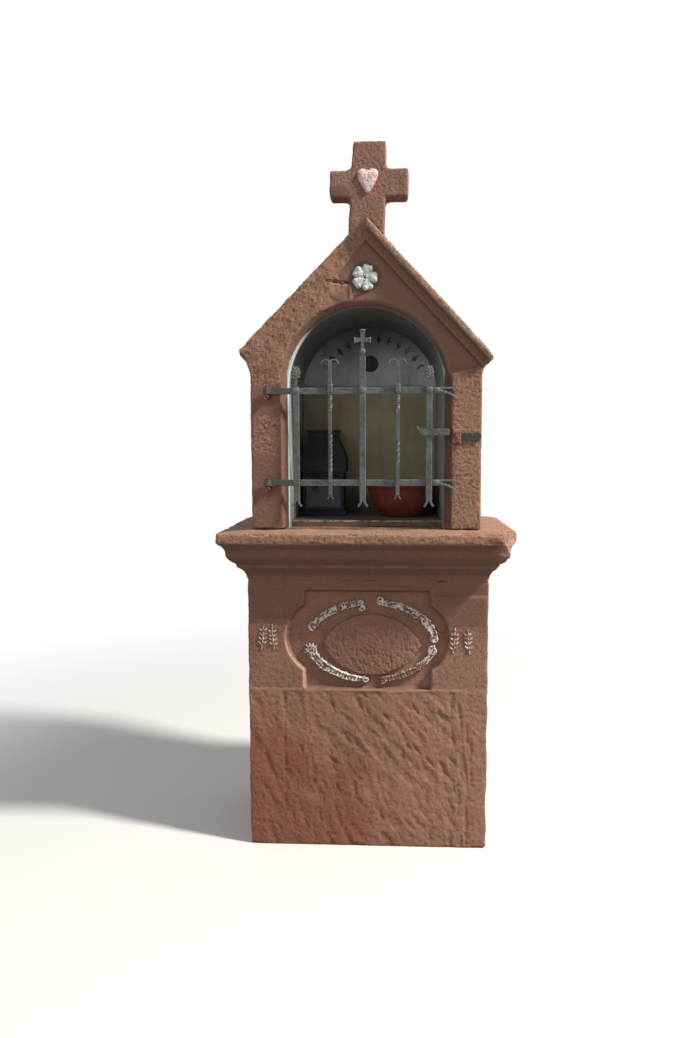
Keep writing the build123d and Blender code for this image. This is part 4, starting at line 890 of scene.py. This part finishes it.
def wreath():
    scrolls = [
        leafy_scroll(159, 99, 0.016, 0.021, 0.015, 0.4, -0.014),
        leafy_scroll(4, 83, 0.024, 0.017, 0.012, 2.2, 0.012),
        leafy_scroll(-14, -80, 0.014, 0.019, 0.015, 1.4, 0.004),
        leafy_scroll(194, 265, 0.032, 0.014, 0.017, 5.4, 0.0, fan=8),
    ]
    whole = bmesh.new()
    for scroll in scrolls:
        whole.from_mesh(as_mesh("scroll", scroll))
    carved("wreath_scrolls", whole, 0.0019, 0.0012, whitewash,
           ["cartouche_scrolls"], behind=PANEL_FLOOR + 0.004)


wreath()

# %% Peck the oval field
def oval_cut(co, no):
    face = rise(-no[:, 1], 0.6, 0.95)
    tall = strokes(co, 0.015, 0.0068, 61, radians(-84))
    peck = pecks(co, 0.008, 62)
    return face * (1.7 * tall + 1.2 * peck), face * (0.3 * tall + 0.15 * peck), 0.5 * face


worn_stone("medallion", 0.004, oval_cut, chipping=0.004)

# %% Two sprigs in each side field
def sprig(work, foot, height, lean, side):
    """A stem with pairs of leaves and one at the tip."""
    steps = 9
    for i in range(steps + 1):
        share = i / steps
        bend = lean * sin(share * pi * 0.5)
        place = foot + Vector((bend, 0, height * share))
        lump(work, place, (0.0026, 0.0042, 0.0062))
        if 0 < i < steps and i % 2 == side:
            for hand in (-1, 1):
                leaf = place + Vector((hand * 0.0075, 0, 0.005))
                half = (0.0088 * (1.15 - 0.5 * share), 0.0048, 0.0034)
                lump(work, leaf, half, 0.75 if hand > 0 else pi - 0.75)
    lump(work, foot + Vector((lean, 0, height + 0.006)), (0.0036, 0.0046, 0.0085))


def field_sprigs():
    work = bmesh.new()
    for x, z, height, lean, side in (
        (-0.327, 0.626, 0.062, 0.006, 0), (-0.288, 0.63, 0.06, -0.005, 1),
        (0.262, 0.622, 0.062, 0.005, 1), (0.312, 0.618, 0.06, -0.006, 0),
    ):
        sprig(work, Vector((x, DRESSED_FACE + 0.001, z)), height, lean, side)
    carved("field_sprigs", work, 0.0016, 0.0008, thin_whitewash,
           behind=DRESSED_FACE + 0.003)


field_sprigs()

# %% [markdown]
# ## Heart and flower
# The heart on the cross is two round shoulders running down to a point. The flower over the arch
# has five blunt petals of two lobes each, round a ring of small beads.

# %% Model the heart and the flower
def painted_heart():
    work = bmesh.new()
    steps = 11
    for i in range(steps):
        share = i / (steps - 1)
        z = 0.017 - 0.051 * share
        reach = 0.015 * (1 - share) ** 0.8
        radius = 0.0145 * (1 - share) ** 0.62 + 0.0024
        for side in (-1, -0.4, 0.4, 1):
            low = z - 0.006 * (1 - abs(side)) * (1 - share)
            place = HEART_CENTRE + Vector((side * reach, 0.001, low))
            lump(work, place, (radius, 0.0095 - 0.003 * share, radius))
    carved("painted_heart", work, 0.0017, 0.001, heart_pink, ["heart"], behind=-0.232)


def flower():
    work = bmesh.new()
    for i in range(5):
        turn = radians(72 * i)
        out, across = around(turn), around(turn + pi / 2)
        lump(work, FLOWER_CENTRE + out * 0.02, (0.0185, 0.0088, 0.015), turn)
        for hand in (-1, 1):
            lobe = out * 0.0275 + across * hand * 0.0072 + Vector((0, 0.001 * hand, 0))
            lump(work, FLOWER_CENTRE + lobe, (0.0108, 0.0091, 0.0095), turn)
    for i in range(7):
        turn = 2 * pi * i / 7
        lump(work, FLOWER_CENTRE + around(turn, 0.007, 0.001), (0.003, 0.01, 0.003))
    carved("stone_flower", work, 0.0014, 0.0009, petal_white, ["rosette"],
           behind=-0.255)


painted_heart()
flower()

# %% [markdown]
# ## Limewash, mortar and the painted arc
# The niche is lined with lime plaster, painted grey as the shade inside the niche and darker towards
# the top of the vault, with a painted highlight of lime white on the left front edge, where the sun
# reaches. The back wall carries a painted arc of plain dark leaves. A pattern that follows an arc is
# drawn in polar terms: the angle around the arc's centre is cut into equal steps, and each step
# holds one lozenge.

# %% Plaster finishes
ARC_CENTRE, ARC_RADIUS, ARC_STEPS = (0.012, 1.43), 0.18, 16


def limewash(name, shade_grey_dark, shade_grey_light, darkening_from, darkening_to):
    paint = Finish(name, roughness=0.92)
    # Both greys are lime white painted darker, as painted shade inside the niche.
    paint.ground(paint.patches(0.35, 0.65, 9, 5, 0.6), shade_grey_dark, shade_grey_light)
    streaks, damp = paint.patches(0.48, 0.7, 14, 5, 0.7, stretch=(1, 1, 0.25)), paint.span("Z", 1.12, 1.02)
    paint.lay(srgb(96, 101, 98), 0.5, streaks)
    # Darker towards the top, between the two given heights.
    paint.lay(srgb(52, 54, 50), 0.8, paint.span("Z", darkening_from, darkening_to))
    paint.lay(srgb(92, 96, 88), 0.5, damp)
    paint.bump(paint.noise(26, 4, 0.5), 0.004, 0.5)
    paint.bump(paint.noise(210, 4, 0.6), 0.0008, 0.6)
    return paint


def lining_finish():
    paint = limewash("limewashed_lining", srgb(150, 156, 154), srgb(170, 175, 172), 1.42, 1.56)
    front, left = paint.span("Y", -0.205, -0.222), paint.span("X", -0.12, -0.18)
    # A painted highlight: lime white on the left front edge, where the sun reaches.
    paint.lay(srgb(226, 228, 226), 0.92, front, left, paint.span("Z", 1.6, 1.54))
    paint.colour()
    return paint.material


def back_finish():
    paint = limewash("limewashed_back", srgb(186, 190, 190), srgb(202, 206, 206), 1.5, 1.66)
    x = paint.maths("SUBTRACT", paint.axis("X"), ARC_CENTRE[0])
    z = paint.maths("SUBTRACT", paint.axis("Z"), ARC_CENTRE[1])
    radius = paint.maths("SQRT", paint.plus(paint.times(x, x), paint.times(z, z)))
    turns = paint.times(paint.maths("ARCTAN2", z, x), ARC_STEPS / pi)
    across = paint.maths("ABSOLUTE", paint.maths("SUBTRACT", paint.maths("FRACT", turns), 0.5))
    along = paint.maths("ABSOLUTE", paint.maths("SUBTRACT", radius, ARC_RADIUS))
    leaf = paint.plus(paint.maths("DIVIDE", along, 0.017), paint.maths("DIVIDE", across, 0.26))
    arc = paint.times(paint.between(turns, 2.4, 2.5), paint.between(turns, 13.6, 13.5))
    leaves, worn = paint.between(leaf, 1.08, 0.92), paint.patches(0.36, 0.5, 90, 5, 0.7)
    paint.lay(srgb(40, 43, 46), 0.85, leaves, arc, worn)
    paint.colour()
    return paint.material


def mortar_finish():
    paint = Finish("floor_mortar", roughness=0.95)
    # The mortar is painted dark olive-grey as painted shade inside the niche; its front edge stays pale.
    paint.ground(paint.patches(0.35, 0.65, 12, 5, 0.6), srgb(72, 72, 64), srgb(96, 95, 86))
    paint.lay(srgb(58, 56, 50), 0.5, paint.patches(0.5, 0.7, 160, 4, 0.6))
    front, upper_edge = paint.span("Y", -0.16, -0.167), paint.span("Z", 1.0165, 1.0185)
    paint.lay(srgb(116, 92, 70), 0.9, front)
    paint.lay(srgb(176, 170, 158), 0.9, front, upper_edge, paint.patches(0.36, 0.5, 45, 4, 0.6))
    moss = paint.patches(0.54, 0.62, 38, 5, 0.7)
    paint.lay(srgb(74, 84, 48), 0.75, moss, paint.span("Y", -0.12, -0.165))
    paint.colour()
    paint.bump(paint.noise(45, 5, 0.6), 0.003, 0.6)
    paint.bump(paint.noise(300, 3, 0.6), 0.0008, 0.6)
    return paint.material


def painted(node, finish):
    """Gives a CAD node whose shape is right its real finish."""
    for place in CAD[node].material_slots:
        place.material = finish


painted("lime_lining", lining_finish())
painted("back_plaster", back_finish())
painted("niche_floor", mortar_finish())
print("niche plastered")

# %% [markdown]
# ## Weathered iron
# The grille was forged by hand and painted grey long ago. Hammering leaves shallow dents, so each bar
# is a dense copy with a soft skin and low, wide noise. The finish has four layers: grey oxide,
# lighter arrises that are partly rubbed metal and partly a painted highlight, corners darkened by
# dirt and painted shade, and rust in patches and round the hinges.

# %% Iron finishes
def iron_finish(name, body_dark, body_light, edge, rust_share, hinge_rust=0.0):
    paint = Finish(name, roughness=0.6, metallic=0.25)
    paint.ground(paint.patches(0.36, 0.64, 30, 5, 0.6), body_dark, body_light)
    paint.lay(edge, 0.4, paint.patches(0.52, 0.68, 260, 4, 0.65))
    # Paler on the arrises: rubbed metal and a painted highlight.
    paint.lay(edge, 0.75, paint.stored("edge"))
    # Dark in the corners: dirt and painted shade.
    paint.lay(srgb(48, 46, 44), 0.85, paint.stored("corner"))
    patch = paint.patches(0.62 - rust_share, 0.7 - rust_share, 70, 6, 0.7)
    if hinge_rust:
        paint.lay(srgb(54, 60, 54), 0.8, paint.span("X", -0.212, -0.245))
        damp = paint.patches(0.62 - hinge_rust, 0.7 - hinge_rust, 55, 5, 0.7)
        patch = paint.maths("MAXIMUM", patch, paint.times(damp, paint.span("X", -0.235, -0.275), 0.7))
    rust = paint.mix(paint.patches(0.4, 0.6, 140, 4), srgb(84, 52, 38), srgb(118, 74, 50))
    paint.lay(rust, 0.8, patch)
    paint.colour()
    paint.roughness(paint.noise(85, 4), 0.45, 0.8)
    paint.bump(paint.noise(120, 5, 0.65), 0.0009, 0.7)
    paint.bump(paint.noise(520, 3, 0.6), 0.0003, 0.8)
    return paint.material


OLD_ZINC = srgb(60, 65, 67), srgb(86, 90, 90), srgb(150, 154, 148)
GREEN_BLACK = srgb(32, 36, 32), srgb(50, 56, 49), srgb(92, 97, 86)
RED_BROWN = srgb(66, 52, 44), srgb(90, 66, 52), srgb(124, 98, 80)
grey_iron = iron_finish("weathered_iron", *OLD_ZINC, 0.02, 0.12)
green_iron = iron_finish("keeper_iron", *GREEN_BLACK, 0.04)
rusty_iron = iron_finish("rusty_iron", *RED_BROWN, 0.2)
print("three irons")

# %% Hammer the grille
def hammer_rule(co, no):
    none = np.zeros(len(co))
    return 0.35 * swellings(co, 0.011, 71, 1) + 0.25 * swellings(co, 0.004, 72, 2, 0.0), none, none


HEAVY_BARS = ("lower_rail", "upper_rail", "hinge_upright", "centre_upright", "latch_upright")
FINE_WORK = ("twisted_bars", "leaf_finials", "cross_finial", "latch_strap")
for bar in HEAVY_BARS + FINE_WORK:
    voxel = 0.0013 if bar in HEAVY_BARS else 0.001
    worn_copy(bar, voxel, hammer_rule, grey_iron, chipping=0.0006, waves=0.1)
worn_copy("keeper_strap", 0.0012, hammer_rule, green_iron, chipping=0.001, waves=0.3)
for pin in ("lower_pintle", "upper_pintle"):
    worn_copy(pin, 0.001, hammer_rule, rusty_iron, chipping=0.0006, waves=0.1)

# %% Ribs, rolled ends and swellings
BAR_FACE, RAIL_FACE, UPPER_RAIL_Z, LOWER_RAIL_Z = -0.2808, -0.2742, 1.409, 1.142
HINGE_X, HOOK_FACE, HOOK_DROP = -0.29, -0.2858, 0.0185
HINGE_BAR_X, CENTRE_BAR_X, LATCH_BAR_X = -0.204, -0.0105, 0.182


def leaf_ribs(work, x):
    """A middle rib and four pairs that lean outwards, as on a feather."""
    lump(work, (x, BAR_FACE, 1.46), (0.0023, 0.0028, 0.017))
    for pair in range(4):
        lean, length = radians(60 - 11 * pair), 0.015 + 0.001 * pair
        for hand in (-1, 1):
            turn = pi / 2 - hand * lean
            place = Vector((x, BAR_FACE, 1.4435 + 0.007 * pair)) + around(turn, length / 2)
            lump(work, place, (length / 2, 0.0026, 0.0019), turn)


def forge_work():
    work = bmesh.new()
    for x in (HINGE_BAR_X, LATCH_BAR_X):
        leaf_ribs(work, x)
    for x in (HINGE_BAR_X, CENTRE_BAR_X, LATCH_BAR_X):
        lump(work, (x, BAR_FACE + 0.001, UPPER_RAIL_Z), (0.012, 0.0042, 0.0105))
    for hand in (-1, 1):
        lump(work, (CENTRE_BAR_X + hand * 0.0222, BAR_FACE + 0.0005, 1.553), (0.0026, 0.0038, 0.0092))
    lump(work, (CENTRE_BAR_X, BAR_FACE + 0.0005, 1.5812), (0.0092, 0.0038, 0.0026))
    lump(work, (CENTRE_BAR_X, BAR_FACE + 0.001, 1.52), (0.0085, 0.0042, 0.0105))
    for z in (LOWER_RAIL_Z, UPPER_RAIL_Z):
        lump(work, (0.203, RAIL_FACE, z), (0.012, 0.004, 0.01))
        for step in range(3):
            place = (0.216 + 0.012 * step, RAIL_FACE, z - 0.003 - 0.003 * step)
            lump(work, place, (0.0024, 0.0032, 0.0058), -0.5)
    carved("forge_work", work, 0.0009, 0.0002, grey_iron, body="gate")


forge_work()

# %% The hooked ring under each hinge
def hinge_rings():
    work = bmesh.new()
    for z in (LOWER_RAIL_Z, UPPER_RAIL_Z):
        middle = Vector((HINGE_X, HOOK_FACE, z - HOOK_DROP))
        for i in range(10):
            lump(work, middle + around(2 * pi * i / 12, 0.0058), (0.0024, 0.0034, 0.0024))
    carved("hinge_rings", work, 0.0009, 0.0003, rusty_iron)


hinge_rings()

# %% The lump of red mortar that holds the keeper
def lump_rule(co, no):
    coarse = swellings(co, 0.012, 75)
    return 3.0 * coarse, coarse * 0.6, coarse


worn_copy("keeper_mortar", 0.0016, lump_rule, sandstone, chipping=0.004, waves=0.4)

# %% [markdown]
# ## What stands in the niche
# A black grave lantern with a red candle, a clay bowl with bare soil, a painted board leaning behind
# and a small dark plate on the wall. Turned things are spun from a profile. Folded sheet metal gets
# narrow bevels, because a real fold catches a line of light.

# %% Turned and folded pieces
def spun(name, profile, centre, finish, node, steps=72):
    """Spins a profile of (radius, height) points round an upright axis."""
    work = bmesh.new()
    chain = [work.verts.new((centre.x + r, centre.y, centre.z + h)) for r, h in profile]
    chain += [work.edges.new(pair) for pair in zip(chain, chain[1:])]
    bmesh.ops.spin(work, geom=chain, cent=centre, axis=(0, 0, 1), angle=2 * pi, steps=steps, use_merge=True)
    bmesh.ops.remove_doubles(work, verts=work.verts, dist=1e-6)
    bmesh.ops.recalc_face_normals(work, faces=work.faces)
    finished(name, as_mesh(name, work), finish, [node])


def folded(node, width, finish):
    """Replaces a CAD node by a copy whose arrises are bevelled."""
    mesh = cad_copy(node)
    with edited(mesh) as work:
        bmesh.ops.dissolve_limit(work, angle_limit=radians(1), verts=work.verts, edges=work.edges)
        arrises = [e for e in work.edges if e.is_manifold and abs(e.calc_face_angle(0)) > radians(25)]
        bmesh.ops.bevel(work, geom=arrises, offset=width, offset_type="OFFSET", segments=2, profile=0.5,
                        affect="EDGES", material=-1, clamp_overlap=True)
    finished("folded_" + node, mesh, finish, [node], body_of(node), smooth=False)


def simple_finish(name, dark, light, scale, rough, metallic=0.0, bump=0.0004, bump_scale=180):
    paint = Finish(name, roughness=sum(rough) / 2, metallic=metallic)
    paint.colour(paint.mix(paint.patches(0.35, 0.65, scale, 5, 0.6), dark, light))
    paint.roughness(paint.noise(scale * 2, 4), *rough)
    paint.bump(paint.noise(bump_scale, 4, 0.6), bump, 0.7)
    return paint.material


def board_finish():
    paint = Finish("beige_board_paint", roughness=0.75)
    paint.ground(paint.patches(0.35, 0.65, 7, 5, 0.6), srgb(150, 138, 113), srgb(168, 156, 129))
    paint.lay(srgb(104, 92, 70), 0.18, paint.patches(0.5, 0.68, 60, 4, 0.6, stretch=(1, 1, 0.08)))
    # Painted shadow: the foot of the board is darkened where the flowers, which are not built, would shade
    # it.
    rising = paint.plus(paint.axis("Z"), paint.times(paint.noise(16, 5), 0.08))
    paint.lay(srgb(40, 36, 30), 0.85, paint.between(rising, 1.21, 1.09))
    paint.colour()
    paint.bump(paint.noise(60, 4, 0.6, stretch=(1, 1, 0.08)), 0.0004, 0.6)
    return paint.material


def pane_finish():
    paint = Finish("smoked_pane", roughness=0.12)
    paint.colour(paint.mix(paint.patches(0.4, 0.6, 20, 4), srgb(88, 90, 94), srgb(110, 112, 114)))
    paint.feed("Transmission Weight", 0.9)
    paint.feed("Specular IOR Level", 0.1)
    return paint.material


black_metal = simple_finish("black_sheet_metal", srgb(26, 27, 30), srgb(38, 40, 43), 24, (0.55, 0.8))
black_metal.node_tree.nodes["Principled BSDF"].inputs["Specular IOR Level"].default_value = 0.25
clay = simple_finish("red_brown_clay", srgb(104, 42, 34), srgb(128, 58, 46), 18, (0.55, 0.8),
                     bump=0.0006, bump_scale=140)
earth = simple_finish("planting_earth", srgb(44, 32, 26), srgb(78, 58, 46), 60, (0.9, 1.0),
                      bump=0.004, bump_scale=120)
plate_metal = simple_finish("blackened_plate", srgb(28, 28, 30), srgb(52, 50, 50), 60, (0.5, 0.8), 0.4)
wax = simple_finish("red_wax", srgb(196, 30, 26), srgb(224, 44, 34), 40, (0.3, 0.5))
worn_copy("planter_soil", 0.004, lump_rule, earth, chipping=0.003, waves=0.5)
for part in ("lantern_base", "lantern_frame", "lantern_roof", "lantern_cap"):
    folded(part, 0.0012, black_metal)
folded("backdrop_board", 0.0015, board_finish())
BOWL_OUTSIDE = [(0.0, 0.0), (0.056, 0.0), (0.061, 0.002), (0.072, 0.012), (0.086, 0.028), (0.0955, 0.041),
                (0.101, 0.055), (0.108, 0.08), (0.112, 0.096), (0.1165, 0.0985), (0.118, 0.101)]
BOWL_INSIDE = [(0.1168, 0.1034), (0.113, 0.104), (0.1085, 0.103), (0.1055, 0.099), (0.1, 0.078),
               (0.09, 0.045), (0.07, 0.022), (0.05, 0.008), (0.0, 0.007)]
BOWL_PLACE, CANDLE_PLACE = Vector((0.1075, -0.004, 1.021)), Vector((-0.15, 0.053, 1.0392))
spun("clay_bowl", BOWL_OUTSIDE + BOWL_INSIDE, BOWL_PLACE, clay, "planter_bowl")
CANDLE = [(0.0, 0.0), (0.014, 0.0), (0.015, 0.002), (0.015, 0.058), (0.0138, 0.0612), (0.011, 0.06),
          (0.0, 0.057)]
spun("grave_candle", CANDLE, CANDLE_PLACE, wax, "candle", steps=48)
painted("wall_plate", plate_metal)
painted("lantern_glass", pane_finish())
